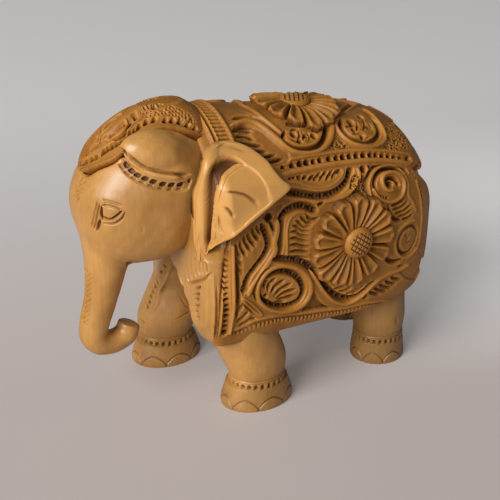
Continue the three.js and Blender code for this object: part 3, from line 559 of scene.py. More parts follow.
GRADUAL = {"interpolation_type": "SMOOTHSTEP"}
DOT = {"operation": "DOT_PRODUCT"}
SMOOTH_PALE = (0.58, 0.30, 0.085)
SMOOTH_DEEP = (0.40, 0.185, 0.036)
CARVED_PALE = (0.43, 0.185, 0.032)
CARVED_DEEP = (0.24, 0.088, 0.009)
# Colours of the painted shade in the cuts, together with the cuts' darker unpolished wood
SMOOTH_HOLLOW_SHADE = (0.13, 0.045, 0.008)
CARVED_HOLLOW_SHADE = (0.05, 0.014, 0.002)
smooth_wood = wood("smooth_wood", SMOOTH_PALE, SMOOTH_DEEP, SMOOTH_HOLLOW_SHADE, 0.34, 0.62, shade=0.68)
carved_wood = wood("carved_wood", CARVED_PALE, CARVED_DEEP, CARVED_HOLLOW_SHADE, 0.48, 0.34, chisel=0.8)


# Carving
SIGHT_REACHES = range(320, 480, 8)


def landing(tree, pixels):
    """Where lines of sight through pixels meet a form, or pass nearest to it"""
    eye = Vector(EYE)
    spots = []
    for pixel in pixels:
        ray = Vector(sight(pixel))
        hit = tree.ray_cast(eye, ray)[0]
        if hit is None:
            tries = [tree.find_nearest(eye + ray * reach) for reach in SIGHT_REACHES]
            hit = min(tries, key=lambda found: found[3])[0]
        spots.append(hit)
    return np.array(spots)


def inside(outline, pixels):
    """Which pixels lie inside a closed outline"""
    x, y = pixels.T
    crossings = np.zeros(len(x), bool)
    for (ax, ay), (bx, by) in zip(outline, np.roll(outline, -1, 0)):
        between = (ay > y) != (by > y)
        crossings ^= between & (x < (bx - ax) * (y - ay) / (by - ay + 1e-9) + ax)
    return crossings


def wobble(index, seed):
    """An even spread of numbers from -1 to 1, one for each whole number"""
    return 2 * np.modf(np.abs(np.sin(index * 12.9898 + seed * 78.233) * 43758.5453))[0] - 1


class Carving:
    """Cuts and raised lines over a form's skin, kept as two heights for every vertex"""

    def __init__(self, spots, tree):
        self.spots = spots
        self.pixels = pixel_of(spots)
        self.tree = tree
        self.rise = np.zeros(len(spots))
        self.cut = np.zeros(len(spots))

    def line(self, pixels, closed=False):
        """A line drawn in the photograph's pixels, or one of places on the form"""
        solid = curve_through(pixels, 6, closed)
        if solid.shape[1] == 2:
            solid = landing(self.tree, solid)
        return solid, running(np.linalg.norm(np.diff(solid, axis=0), axis=1))

    def near(self, line, reach):
        """Vertices near a line, with how far off and how far along it they are"""
        solid, lengths = line
        box = np.all((self.spots > solid.min(0) - reach) & (self.spots < solid.max(0) + reach), 1)
        found = np.nonzero(box)[0]
        away, stretch, share = nearest_on(solid, self.spots[found], 2.0 * reach)
        paces = np.array([math.sqrt(max(step @ step, 1e-9)) for step in np.diff(solid, axis=0)])
        at = lengths[stretch] + share * paces[stretch]
        close = away < reach
        return found[close], away[close], at[close], lengths[-1]

    def channel(self, pixels, width, depth, closed=False, wall=0.3, taper=0.0):
        """A flat-bottomed cut with steep walls"""
        found, away, at, total = self.near(self.line(pixels, closed), width / 2 + wall)
        half = width / 2 * ends(at, total, taper)
        shape = 1 - smooth(half - wall, half + wall, away)
        self.cut[found] = np.maximum(self.cut[found], depth * shape)

    def groove(self, pixels, width, depth, taper=0.35):
        """A knife cut, deepest on its line"""
        found, away, at, total = self.near(self.line(pixels), width / 2)
        half = width / 2 * ends(at, total, taper)
        shape = np.clip(1 - away / np.maximum(half, 0.01), 0, 1) ** 0.8
        self.cut[found] = np.maximum(self.cut[found], depth * shape * half * 2 / width)

    def grooves(self, lines, width, depth, taper=0.35):
        for pixels in lines:
            self.groove(pixels, width, depth, taper)

    def band(self, pixels, width, height, closed=False, wall=0.25, taper=0.0):
        """A raised rail, which fills what was cut under it"""
        found, away, at, total = self.near(self.line(pixels, closed), width / 2 + wall)
        half = width / 2 * ends(at, total, taper)
        shape = 1 - smooth(half - wall, half + wall, away)
        crown = height * shape * (1 - 0.25 * np.minimum(1, away / np.maximum(half, 0.01)) ** 2)
        self.rise[found] = np.maximum(self.rise[found], crown)
        self.cut[found] *= 1 - shape

    def teeth(self, pixels, pitch, size, depth, closed=False, long=1.0):
        """A row of small pits, evenly pitched by hand"""
        found, away, at, _ = self.near(self.line(pixels, closed), size)
        step = at / pitch
        place = np.round(step)
        off = (step - place) * pitch + 0.12 * size * wobble(place, 1)
        gap = np.hypot(off, (away + 0.1 * size * wobble(place, 2)) / long)
        radius = size / 2 * (1 + 0.15 * wobble(place, 3))
        shape = 1 - smooth(0.55 * radius, 1.1 * radius, gap)
        deep = depth * (1 + 0.2 * wobble(place, 4))
        self.cut[found] = np.maximum(self.cut[found], deep * shape)

    def dotted(self, pixels, width, depth, pitch, size, deep, closed=False, long=1.0, taper=0.0):
        """A sunk channel with a row of small pits down its middle"""
        self.channel(pixels, width, depth, closed, taper=taper)
        self.teeth(pixels, pitch, size, deep, closed, long)

    def ticks(self, pixels, pitch, width, length, depth, lean=0.0):
        """Short knife cuts across a line"""
        line = self.line(pixels)
        found, away, at, total = self.near(line, length / 2)
        side = self.side_of(line, found, at)
        step = (at - lean * side * away) / pitch
        place = np.round(step)
        off = np.abs(step - place + 0.1 * wobble(place, 5)) * pitch
        shape = np.clip(1 - off / (width / 2), 0, 1) * (1 - smooth(0.7, 1.0, away / (length / 2)))
        shape = shape * ((at > 0) & (at < total))
        self.cut[found] = np.maximum(self.cut[found], depth * shape)

    def side_of(self, line, found, at):
        """On which side of a line vertices are, as the photograph shows them"""
        solid, lengths = line
        flat = pixel_of(solid)
        i = np.clip(np.searchsorted(lengths, at) - 1, 0, len(flat) - 2)
        ahead, off = flat[i + 1] - flat[i], self.pixels[found] - flat[i]
        return np.sign(ahead[:, 0] * off[:, 1] - ahead[:, 1] * off[:, 0])

    def pit(self, pixel, radius, depth, wall=0.35):
        spot = landing(self.tree, [pixel])[0]
        gap = np.linalg.norm(self.spots - spot, axis=1)
        shape = 1 - smooth(radius - wall, radius + wall, gap)
        self.cut = np.maximum(self.cut, depth * shape)

    def pits(self, pixels, radius, depth):
        for place, pixel in enumerate(pixels):
            self.pit(pixel, radius * (1 + 0.12 * wobble(place, 6)), depth)

    def area(self, outline, wall=0.5):
        """How far inside a closed outline each vertex is, from 0 at its edge to 1"""
        line = self.line(outline, closed=True)
        share = inside(pixel_of(line[0]), self.pixels).astype(float)
        found, away, *_ = self.near(line, wall)
        share[found] *= smooth(0, wall, away)
        return share

    def lower(self, outline, depth, wall=0.5):
        """Sinks the ground inside an outline"""
        self.cut = np.maximum(self.cut, depth * self.area(outline, wall))

    def stipple(self, outline, pitch, size, depth):
        """Small pits pricked all over an area"""
        share = self.area(outline, 0.3)
        found = np.nonzero(share > 0)[0]
        if not len(found):
            return
        across, up = self.spots[found, 0], self.spots[found, 2] + 0.5 * self.spots[found, 1]
        row = np.round(up / pitch)
        column = np.round(across / pitch + 0.5 * np.mod(row, 2))
        gap = np.hypot(
            across - (column - 0.5 * np.mod(row, 2) + 0.22 * wobble(column + 37 * row, 7)) * pitch,
            up - (row + 0.22 * wobble(column + 37 * row, 8)) * pitch)
        shape = (1 - smooth(0.3 * size, 0.6 * size, gap)) * share[found]
        self.cut[found] = np.maximum(self.cut[found], self.cut[found] * 0.6 + depth * shape)

    def height(self):
        return self.rise - self.cut


def ends(at, total, taper):
    """Width shares along a line that narrows towards both ends"""
    if not taper:
        return 1.0
    run = max(taper * total, 0.01)
    return np.clip(np.minimum(at, total - at) / run, 0.05, 1) ** 0.6


def carve_other_side(carving, carve, unseen):
    """Carves the places that the photograph doesn't show like those across the middle"""
    other = Carving(carving.spots * OTHER_SIDE, carving.tree)
    carve(other)
    carving.rise[unseen] = other.rise[unseen]
    carving.cut[unseen] = other.cut[unseen]


def tree_of(form):
    tree = BVHTree.FromBMesh(form)
    form.free()
    return tree


def sheet_tree(points):
    """An open sheet for casting lines at"""
    return tree_of(skin(points, wrap=False, close=False))


def grid_normals(points):
    along = np.gradient(points, axis=0)
    across = np.gradient(points, axis=1)
    normals = np.cross(across, along)
    return normals / np.maximum(np.linalg.norm(normals, axis=2, keepdims=True), 1e-9)


def spread(field, reach):
    """A field on a grid, averaged over a square of cells"""
    for axis in (0, 1):
        pad = [(reach + 1, reach) if a == axis else (0, 0) for a in (0, 1)]
        total = np.cumsum(np.pad(field, pad, mode="edge"), axis=axis)
        size = field.shape[axis]
        high = np.take(total, range(2 * reach + 1, 2 * reach + 1 + size), axis)
        low = np.take(total, range(0, size), axis)
        field = (high - low) / (2 * reach + 1)
    return field


# From where to where, in millimetres, a dip below its neighbourhood and a deep cut take painted shade, and a
# ridge takes a painted highlight
DIP_SHADE = (0.12, 0.95)
DEEP_CUT_SHADE = (0.9, 2.1)
RIDGE_HIGHLIGHT = (0.04, 0.4)


def relief(points, height, depth=3.0, out=None):
    """A carved sheet over a grid of points; its border turns in and is closed behind"""
    out = grid_normals(points) if out is None else out
    raised = points + out * height[..., None]
    rim = np.pad(raised, ((1, 1), (1, 1), (0, 0)), mode="edge")
    inward = np.pad(out, ((1, 1), (1, 1), (0, 0)), mode="edge")
    edge = np.ones(rim.shape[:2], bool)
    edge[1:-1, 1:-1] = False
    rim[edge] -= (inward * depth)[edge]
    # Dips and deep cuts get painted shade, with the cuts' darker unpolished wood; ridges get a painted
    # highlight
    cavity = spread(spread(height, 4), 3) - height
    sunk = np.maximum(smooth(*DIP_SHADE, cavity), smooth(*DEEP_CUT_SHADE, -height))
    hollow = np.pad(sunk, 1, mode="edge")
    painted_highlight = np.pad(smooth(*RIDGE_HIGHLIGHT, -cavity), 1, mode="edge")
    return rim, {"hollow": hollow, "edge": painted_highlight}


def lay_sheet(name, points, height, nodes, depth=3.0, out=None):
    """A carved sheet as a piece"""
    rim, marks = relief(points, height, depth, out)
    finish_piece(name, skin(rim, marks, wrap=False), carved_wood, nodes)


# Saddle cloth on the flanks
CLOTH_WALL = 1.9
FLANK_COLUMNS = 400
FLANK_ROWS = 240
SET_BACK = 5.9
HEM_DROP = 1.5
FRONT_REACH = 2.0
REAR_REACH = 1.7
front_shares = [(0.045, -0.79), (0.06, -0.4), (0.085, 0.1), (0.125, 0.45), (0.15, 0.62), (0.16, 0.8)]
upper_shares = [(0.16, 0.8), (0.25, 0.745), (0.33, 0.71), (0.43, 0.69), (0.54, 0.67), (0.69, 0.615),
                (0.79, 0.54), (0.855, 0.445)]
rear_shares = [(0.885, -0.84), (0.895, -0.74), (0.92, -0.52), (0.94, -0.25), (0.945, 0.04),
               (0.925, 0.22), (0.885, 0.36), (0.855, 0.445)]
hem_shares = [(0.045, -0.79), (0.27, -0.79), (0.5, -0.83), (0.75, -0.87), (0.885, -0.84)]


def side_place(shares, shift=(0.0, 0.0)):
    """Places on the flank, x and z, from shares of the torso's length and of its rise or drop"""
    along, height = np.array(shares).T
    tall = np.where(height > 0, TORSO_RISE, TORSO_DROP)
    return np.stack([TORSO_FRONT_X + along * TORSO_LENGTH + shift[0], WAIST_Z + height * tall + shift[1]], 1)


def smooth_border(places, count):
    return even_paces(curve_through(places, 12), count)


def patch_between(bottom, top, front, rear):
    """A grid of places stretched between four border lines"""
    u = np.linspace(0, 1, len(bottom))[None, :, None]
    v = np.linspace(0, 1, len(front))[:, None, None]
    across = (1 - v) * bottom[None] + v * top[None]
    along = (1 - u) * front[:, None] + u * rear[:, None]
    corners = ((1 - u) * (1 - v) * bottom[0] + u * (1 - v) * bottom[-1]
               + (1 - u) * v * top[0] + u * v * top[-1])
    return across + along - corners


def flank_points():
    """The cloth on the left flank; its lower corners reach a little past those of the solids"""
    hem = side_place(hem_shares, (0, -HEM_DROP))
    upper = side_place(upper_shares)
    front = side_place(front_shares)
    rear = side_place(rear_shares)
    lead = np.linspace(1, 0, len(front_shares))[:, None]
    front += np.hstack([-FRONT_REACH * np.minimum(1, lead * 3), -HEM_DROP * lead**4])
    rear_lead = np.linspace(1, 0, len(rear_shares))[:, None]
    rear += np.hstack([REAR_REACH * np.minimum(1, rear_lead * 3), -HEM_DROP * rear_lead**4])
    hem[0], hem[-1] = front[0], rear[0]
    upper[0], upper[-1] = front[-1], rear[-1]
    flat = patch_between(
        smooth_border(hem, FLANK_COLUMNS), smooth_border(upper, FLANK_COLUMNS),
        smooth_border(front, FLANK_ROWS), smooth_border(rear, FLANK_ROWS))
    x, z = flat[..., 0], flat[..., 1]
    return grid(x, -flank_y(x, z, CLOTH_WALL), z)


def carve_flank(carve):
    """Places are in the photograph's pixels; widths, depths and pitches are in millimetres"""
    # Open ground between the rails
    for outline, depth in [
        ([(352, 176), (360, 174), (367, 178), (368, 192), (360, 196), (350, 192)], 1.0),
        ([(308, 300), (313, 290), (322, 303), (334, 309), (320, 311), (302, 313)], 1.3),
        ([(398, 266), (412, 262), (420, 250), (424, 262), (418, 280), (404, 278)], 0.7),
        ([(262, 214), (275, 206), (283, 204), (280, 214), (276, 222), (268, 224)], 0.8),
    ]:
        carve.lower(outline, depth)

    # Leaf along the top, with its dotted channel and bright rim
    carve.dotted([(290, 192), (303, 194), (318, 196), (331, 194), (341, 188.5), (348, 180), (350.5, 170)],
                 2.4, 1.6, 1.35, 1.5, 3.0, long=1.2)
    carve.band([(286, 197), (300, 199), (318.5, 201.7), (336, 199.5), (348, 194), (356, 184.5),
               (359.5, 175), (357, 168)], 1.25, 0.55, taper=0.06)
    carve.band([(287, 181.5), (298, 182.5), (309, 186), (322, 187.5), (333, 184.5), (341, 177), (344, 170)],
               0.9, 0.35, taper=0.1)
    carve.grooves([
        [(302, 179.5), (308, 175.5)], [(308, 180.5), (316, 174.5)], [(313, 181.5), (322, 171.5)],
        [(319, 181), (328, 170)], [(325.5, 181), (333.5, 169.5)], [(331.5, 179), (338.5, 169)],
        [(337, 174), (341, 169)], [(297, 179), (302, 176.5)]
    ], 1.42, 1.53, 0.3)
    carve.pits([(290, 177.5), (293.5, 176.8), (298.5, 175.5)], 0.55, 1.8)
    carve.pits([(363.5, 169)], 1.25, 2.2)
    carve.pits([(370, 166)], 0.8, 2.0)
    carve.pits([(322, 203.2), (319.5, 204)], 0.55, 1.8)
    carve.stipple([(354, 177), (361, 175), (366, 179), (367, 191), (359, 194), (351, 191)], 1.0, 0.8, 1.7)

    # Volute at the rear
    carve.channel([(369, 197), (367, 188), (368, 178), (373, 169), (381, 163.5), (392, 162), (401, 166),
                  (408, 173)], 1.5, 1.5, taper=0.1)
    carve.channel([(377, 192), (374.5, 185), (376, 177), (381, 170.5), (388, 168), (396, 169), (403, 174)],
                  1.3, 1.9, taper=0.15)
    carve.band([(373, 190), (378, 197.5), (386, 201.5), (394, 201), (401, 196), (404, 187), (402, 178),
               (395, 172.5), (387, 173), (382, 178), (382.5, 185), (387, 190), (392, 190)], 1.2, 0.9)
    carve.channel([(398, 184), (394.5, 179), (389.5, 178.5), (387, 182), (389, 185.5)], 1.3, 1.9)
    carve.pit((390.5, 184), 0.9, 2.2)
    carve.teeth([(381, 196.5), (387, 198)], 1.2, 0.9, 1.8)
    carve.band([(364, 201), (370.5, 198), (369.5, 190), (369, 183), (372, 174), (378, 168), (388, 165),
               (398, 166.5)], 0.9, 0.5, taper=0.1)
    carve.band([(405, 176), (408, 184), (408, 194), (413, 203), (416, 212)], 1.1, 0.5, taper=0.1)

    # Ribbed leaf under the volute
    carve.channel([(388, 205), (390, 212), (395, 219), (402, 221)], 1.2, 1.6, taper=0.2)
    carve.grooves([
        [(391, 206), (398, 204), (405, 198)], [(392, 210), (401, 207.5), (409, 200.5)],
        [(394, 214), (403, 211.5), (412, 204.5)], [(397, 217.5), (405, 215), (413, 209)],
        [(401, 220), (408, 218), (414, 213)]
    ], 1.35, 1.36, 0.2)

    # Rear medallion with a small leaf
    carve.channel([(413, 226), (405, 230), (400, 238), (398.5, 247), (402, 253), (408, 252), (414, 243),
                  (417, 232)], 1.0, 1.2, closed=True)
    carve.band([(416, 219), (405, 224), (397, 233), (394.5, 245), (397, 254), (404, 257.5), (411, 254),
               (417, 246)], 1.1, 0.7, taper=0.05)
    carve.groove([(404, 246), (408, 239), (412, 232)], 0.8, 0.8)
    carve.grooves([[(406, 243), (411, 241)], [(408, 238), (405, 234)]], 0.7, 0.7)
    carve.pit((416, 251), 0.7, 2.4)
    carve.channel([(384, 253), (388, 260), (394, 262), (402, 259)], 1.4, 1.7, taper=0.2)

    # Rear border
    carve.band([(416, 180), (420, 197), (421.5, 215), (420, 235), (416, 252)], 0.9, 0.4)
    carve.teeth([(411.5, 171), (416.5, 180), (421, 192), (423.5, 206)], 1.6, 0.8, 1.4)

    # Comb-like panel beside the flower
    carve.dotted([(276.5, 260), (280, 247), (280.5, 230), (283, 216), (292, 208), (304, 205.5), (317, 211)],
                 2.4, 1.6, 1.35, 1.5, 3.0, long=1.2, taper=0.04)
    carve.band([(286.5, 259), (287, 245), (287, 230), (290, 219), (297, 213), (306, 212)], 0.8, 0.45,
               taper=0.06)
    carve.grooves([
        [(289, 258), (297, 257.5), (309, 259)], [(289, 252), (298, 251.5), (310, 252.5)],
        [(289, 245.5), (297, 245), (304, 247), (311, 247)],
        [(289, 239), (296, 238.5), (303, 241), (310, 241.5)],
        [(290, 232), (297, 232), (303, 236), (311, 236.5)],
        [(292, 225.5), (298, 227), (304, 231.5), (312, 231)],
        [(295.5, 220), (300, 223), (305, 227.5), (313, 226)],
        [(300, 216), (304, 219.5), (309, 223), (316, 221)],
        [(306, 214), (309, 218), (314, 220), (320, 217)]
    ], 1.58, 1.53, 0.25)

    # Leaf behind the front border, and the light stem beside it
    carve.dotted([(262, 225), (267, 235), (268.5, 246), (263.5, 257), (256, 267), (249.5, 276),
                 (245.5, 285), (244, 294)], 2.2, 1.6, 1.4, 1.45, 3.0, long=1.2, taper=0.04)
    carve.band([(277, 219), (277, 231), (274.5, 243), (275, 251), (268, 263), (259, 277), (252, 287),
               (247.5, 296)], 1.7, 0.7, taper=0.05)
    carve.dotted([(268, 268), (262, 274.5), (257, 283), (253, 293)], 1.4, 1.3, 1.35, 1.2, 2.5, taper=0.1)
    carve.pit((270, 217.5), 1.3, 2.6)
    carve.channel([(270, 217), (272, 224), (274, 231)], 1.0, 1.8, taper=0.3)
    carve.grooves([
        [(236, 243), (237.5, 251), (241.5, 260)], [(240, 240), (242, 248.5), (247, 257)],
        [(244, 235), (246, 243), (252, 251.5)], [(247.5, 232), (250, 239.5), (256, 247)],
        [(252, 228), (255, 235), (260, 241)], [(256.5, 225), (258.5, 230), (262, 235)],
        [(235.5, 252), (238, 260), (243, 268)], [(236, 262), (239, 269), (243, 276)],
        [(237, 272), (239.5, 279)]
    ], 1.65, 1.61, 0.25)

    # Front border of two rails with rungs between them
    carve.dotted([(226.5, 250), (226.5, 290), (227, 312), (224.5, 333)], 2.1, 0.8, 1.9, 1.3, 2.4, long=1.7,
                 taper=0.02)
    carve.band([(220.5, 253), (221, 290), (220.5, 322), (218, 335)], 1.0, 0.6)
    carve.band([(233, 247), (233.5, 275), (234, 300), (233, 315), (230, 333)], 1.0, 0.7)
    carve.channel([(238, 262), (238.5, 280), (239, 298), (237, 318)], 1.3, 2.0, taper=0.12)

    # Corner leaf with the tie over it
    carve.grooves([
        [(236, 322), (243, 318), (249, 311)], [(239, 326), (247, 322), (254, 315)],
        [(236.5, 313), (241, 309), (243, 304)], [(243, 327), (250, 325), (258, 320)]
    ], 1.65, 1.53, 0.2)
    carve.band([(241, 298), (249, 303.5), (256, 310), (262, 315.5)], 1.7, 0.7, taper=0.08)
    carve.groove([(243, 299.5), (251, 306), (260, 313.5)], 0.8, 1.1)
    carve.groove([(242, 303), (249, 309.5), (256, 315)], 0.8, 1.1)
    carve.pit((253.5, 320), 0.8, 2.0)

    # Lower medallion: rail, dotted channel and leaf
    carve.dotted([(257, 291), (261.5, 282), (270, 275), (281, 272), (293, 274), (301, 281), (303.5, 290),
                 (299, 300), (289, 305.5), (277, 307), (266, 303), (259, 298)], 2.1, 1.6, 1.35, 1.45, 3.0,
                 closed=True, long=1.2)
    carve.band([(258.5, 285), (265, 274), (274, 267.5), (285, 265.5), (297, 268.5), (307, 276), (311, 287),
               (307.5, 299), (298, 308), (285, 311.5), (271, 309.5), (261, 303), (257.5, 295)], 1.5, 0.75,
               closed=True)
    carve.grooves([
        [(268, 292), (270, 284), (277, 277.5)], [(271, 294), (276, 286), (286, 279.5)],
        [(274, 296), (281, 289.5), (293, 283)], [(276, 299), (284, 293.5), (297, 289)],
        [(275, 302), (284, 298.5), (296, 295)], [(272, 303), (280, 303), (287, 302)],
        [(265, 289), (265.5, 284), (269, 280)]
    ], 1.65, 1.7, 0.25)
    carve.pit((265.5, 296), 0.65, 2.0)

    # Long scroll under the flower
    carve.channel([(273, 259), (286, 259.5), (300, 261.5), (311.5, 268), (320.5, 280), (330.5, 292),
                  (343, 298.5), (355.5, 297.5), (366, 290), (375, 281)], 2.4, 1.6, taper=0.04)
    carve.teeth([(273, 259), (286, 259.5), (300, 261.5), (311.5, 268), (320.5, 280), (330.5, 292),
                (343, 298.5), (355.5, 297.5), (366, 290)], 1.35, 1.5, 3.0, long=1.2)
    carve.band([(311, 271), (317, 281), (324, 291.5), (334, 301), (347, 303.5), (361, 296), (376, 281.5),
               (387.5, 274), (399, 269.5), (409, 263.5)], 1.3, 0.7, taper=0.05)
    carve.groove([(306, 303), (314, 297), (318, 304), (327, 310)], 1.4, 1.6)

    # Ribs under the flower and the leaf to its right
    carve.grooves([
        [(334, 289), (340, 288), (346, 284.5)], [(338, 292), (346, 290.5), (353, 286)],
        [(345, 294.5), (353, 292), (360, 286)], [(352, 294.5), (359, 290), (365, 284)]
    ], 1.35, 1.36, 0.2)
    carve.pit((365.5, 297.5), 0.7, 1.9)
    carve.grooves([
        [(369, 292), (374, 294), (380, 295.5)], [(374, 288), (380, 291), (388, 292)],
        [(379, 284.5), (385, 287.5), (392, 289)], [(385, 280.5), (390, 283.5), (397, 284)],
        [(391, 277.5), (396, 279.5), (402, 279.5)]
    ], 1.5, 1.53, 0.2)
    carve.teeth([(391, 277), (396, 274)], 1.3, 0.8, 1.6)

    # Hem: a smooth band over a notched edge
    carve.band([(233, 330), (245, 325), (256, 320), (276, 315.5), (300, 313), (325, 309.5), (344, 307.5),
               (369, 302), (402, 298.5)], 1.1, 0.5, taper=0.02)
    carve.ticks([(232, 334), (245, 330), (258, 325.5), (278, 320.5), (300, 318.5), (325, 315), (345, 312),
                (369, 306.5), (400, 303)], 1.5, 0.9, 1.4, 1.0)
    carve.groove([(236, 333.5), (256, 324), (278, 318.8), (300, 316.5), (325, 313), (345, 310.5),
                 (369, 304.8), (400, 301.5)], 0.8, 0.9, 0.03)


cloth_tree = tree_of(torso_form(CLOTH_WALL, 160, 240))
flank_cells = flank_points()
flank_carving = Carving(flank_cells.reshape(-1, 3), cloth_tree)
carve_flank(flank_carving)
flank_height = flank_carving.height().reshape(flank_cells.shape[:2])


def mirrored(cells):
    """The same sheet on the right, set back at the shoulder as the body is"""
    other = cells * OTHER_SIDE
    low = smooth(WAIST_Z + 0.62 * TORSO_RISE, WAIST_Z - 0.79 * TORSO_DROP, other[..., 2])
    ahead = 1 - smooth(TORSO_FRONT_X, TORSO_FRONT_X + 40, other[..., 0])
    other[..., 0] += SET_BACK * low * ahead
    return other


flank_parts = ["flank_cloth", "upper_rail", "front_border", "hem", "rear_border", "front_medallion",
               "rear_medallion", "volute"]
lay_sheet("left_flank_relief", flank_cells, flank_height, [f"left_{part}" for part in flank_parts])
lay_sheet("right_flank_relief", mirrored(flank_cells)[::-1], flank_height[::-1],
          [f"right_{part}" for part in flank_parts])


# Flowers
PETALS = 13
PETAL_COLUMNS = 44
ROSE_RINGS = 90
WALL_RINGS = 8
FLANK_ROSE = dict(centre=(18.6, 55.3), radius=15.9, turn_deg=12.0)
BACK_ROSE = dict(centre=(14.4, -0.4), radius=16.0, turn_deg=4.0)
BACK_ROSE_STRETCH = (0.93, 1.0)
ROSE_FACE_Y = 32.25
FLANK_ROSE_SINK = 2.4
FLANK_ROSE_FLARE = 0.7
BACK_ROSE_FLARE = -1.2
BACK_ROSE_LIFT = 0.3
BOSS_RADIUS = 5.3
BOSS_SHIFT = (1.0, 0.2)
BOSS_SINK = 0.35
BOSS_LIFT = 1.4
FLANK_BOSS_TALL = 2.6
BACK_BOSS_TALL = 2.2


def petal_field(radius, turn_deg, flare):
    """Places in the plane and heights of a flower's face, then of the wall round its rim"""
    angle = turn(PETALS * PETAL_COLUMNS)
    across = np.modf(angle * PETALS / (2 * math.pi))[0] - 0.5
    petal = np.floor(angle * PETALS / (2 * math.pi))
    reach = radius * (1 + 0.025 * wobble(petal, 3)) - 0.4 - 2.1 * (2 * np.abs(across)) ** 3
    reach += 0.25 * np.cos(across * 4 * math.pi) * (np.abs(across) < 0.25)
    share = np.linspace(0.03, 1, ROSE_RINGS)[:, None]
    r = reach * share
    side = np.abs(across)[None]
    ridge = 1.5 + 0.9 * np.sin(math.pi * np.clip((r - 4) / 15, 0, 1)) + 0.18 * wobble(petal, 5)
    spoon = smooth(5.0, 8.5, r) * (1 - smooth(0.88, 0.98, share))
    height = ridge - 1.05 * spoon * (1 - smooth(0.02, 0.3, side))
    height -= 0.35 * (1 - smooth(0, 0.05, side)) * smooth(5, 6, r) * (1 - smooth(0.5, 0.75, share))
    height -= 2.5 * smooth(0.33, 0.49, side) * smooth(3.5, 6.0, r)
    height -= 0.6 * smooth(0.93, 1.0, share)
    down = np.linspace(0, 1, WALL_RINGS + 1)[1:, None]
    wall_r = reach + flare * down
    wall_height = height[-1:] - (height[-1:] + 1.6) * down
    r = np.vstack([r, wall_r])
    height = np.vstack([height, wall_height])
    turned = angle + math.radians(turn_deg)
    # Darker in the gaps between petals, in their spoons and down the wall round the rim: painted shade with
    # the cuts' darker unpolished wood. Paler along each petal's rims: a painted highlight
    sunk = smooth(0.35, 0.5, side) * 0.8 * smooth(3.5, 6, reach * share)
    sunk = sunk + 0.25 * spoon * (1 - smooth(0, 0.2, side))
    hollow = np.vstack([sunk, np.repeat(0.2 + 0.7 * down, len(angle), 1)])
    painted_highlight = np.vstack([
        np.exp(-((side - 0.31) / 0.06) ** 2) * smooth(5, 9, reach * share),
        np.zeros((WALL_RINGS, len(angle)))])
    return r * np.cos(turned), r * np.sin(turned), height, {"hollow": hollow, "edge": painted_highlight}


def boss_field(radius, tall):
    """The same for a flower's heart, a dome crossed by two sets of cuts"""
    share = np.linspace(0.02, 1, 50)[:, None]
    angle = turn(160)
    u, v = radius * share * np.cos(angle), radius * share * np.sin(angle)
    dome = tall * np.sqrt(np.clip(1 - share**2.4, 0, 1)) * np.ones_like(angle)
    lines = np.zeros_like(u)
    for lean in (0.9, -0.5):
        along = (u * math.cos(lean) + v * math.sin(lean)) / 1.45
        lines = np.maximum(lines, 1 - smooth(0.08, 0.22, np.abs(along - np.round(along))))
    lines = lines * (1 - smooth(0.66, 0.8, share))
    # The cuts are darker, painted shade with the cuts' darker unpolished wood, and the dome between them
    # paler, a painted highlight
    return u, v, dome - 0.42 * lines, {"hollow": 0.75 * lines, "edge": 0.3 * (1 - lines)}


def raised(name, x, y, z, marks, node):
    """A flower or its heart as a piece"""
    finish_piece(name, skin(grid(x, y, z), marks), carved_wood, [node])


for side in (LEFT, RIGHT):
    name = SIDE_NAMES[side]
    u, v, height, marks = petal_field(FLANK_ROSE["radius"], FLANK_ROSE["turn_deg"], FLANK_ROSE_FLARE)
    face = ROSE_FACE_Y - FLANK_ROSE_SINK
    cx, cz = FLANK_ROSE["centre"]
    raised(f"{name}_flank_flower", cx + u, side * (face + height), cz + v, marks, f"{name}_rosette")
    u, v, height, marks = boss_field(BOSS_RADIUS, FLANK_BOSS_TALL)
    cx, cz = cx + BOSS_SHIFT[0], cz + BOSS_SHIFT[1]
    raised(f"{name}_flower_heart", cx + u, side * (ROSE_FACE_Y - BOSS_SINK + height), cz + v, marks,
           f"{name}_rosette_boss")
u, v, height, marks = petal_field(BACK_ROSE["radius"], BACK_ROSE["turn_deg"], BACK_ROSE_FLARE)
cx, cy = BACK_ROSE["centre"]
u, v = u * BACK_ROSE_STRETCH[0], v * BACK_ROSE_STRETCH[1]
# The back's flower follows the cloth, a little flatter than it
seat = back_z(cx + 0.9 * u, 0.93 * v, CLOTH_WALL) + BACK_ROSE_LIFT
raised("back_flower", cx + u, cy + v, seat + height, marks, "back_rosette")
u, v, height, marks = boss_field(BOSS_RADIUS, BACK_BOSS_TALL)
heart_seat = back_z(np.array([cx]), np.array([cy]), CLOTH_WALL)[0] + BOSS_LIFT
raised("back_flower_heart", cx + u, cy + v, heart_seat + height, marks, "back_rosette_boss")


# Saddle cloth over the back
TOP_SHARE = 0.999
BACK_COLUMNS = 330
BACK_ROWS = 296
BACK_START = 11.0
RUMP_LINE = 0.43
BACK_SEAM = [(262, 185), (283, 179), (301, 175), (321, 171), (345, 167.5), (370, 165), (392, 165.5),
             (410, 169)]


def over_back(x, low, rows, wall, samples):
    """A grid over the back at places x, down to heights low on both sides"""
    rise, _, half, full = torso_cut(x, wall)
    points = np.empty((rows, len(x), 3))
    for c in range(len(x)):
        power = full[c] * BACK_POWER
        start = math.acos(min((low[c] - WAIST_Z) / rise[c], TOP_SHARE) ** (power / 2))
        across, height = superellipse(np.linspace(-start, start, samples), power)
        y, z = across * half[c], WAIST_Z + height * rise[c]
        run = running(np.hypot(np.diff(y), np.diff(z)))
        at = np.linspace(0, run[-1], rows)
        points[:, c] = grid(x[c], np.interp(at, run, y), np.interp(at, run, z))
    return points


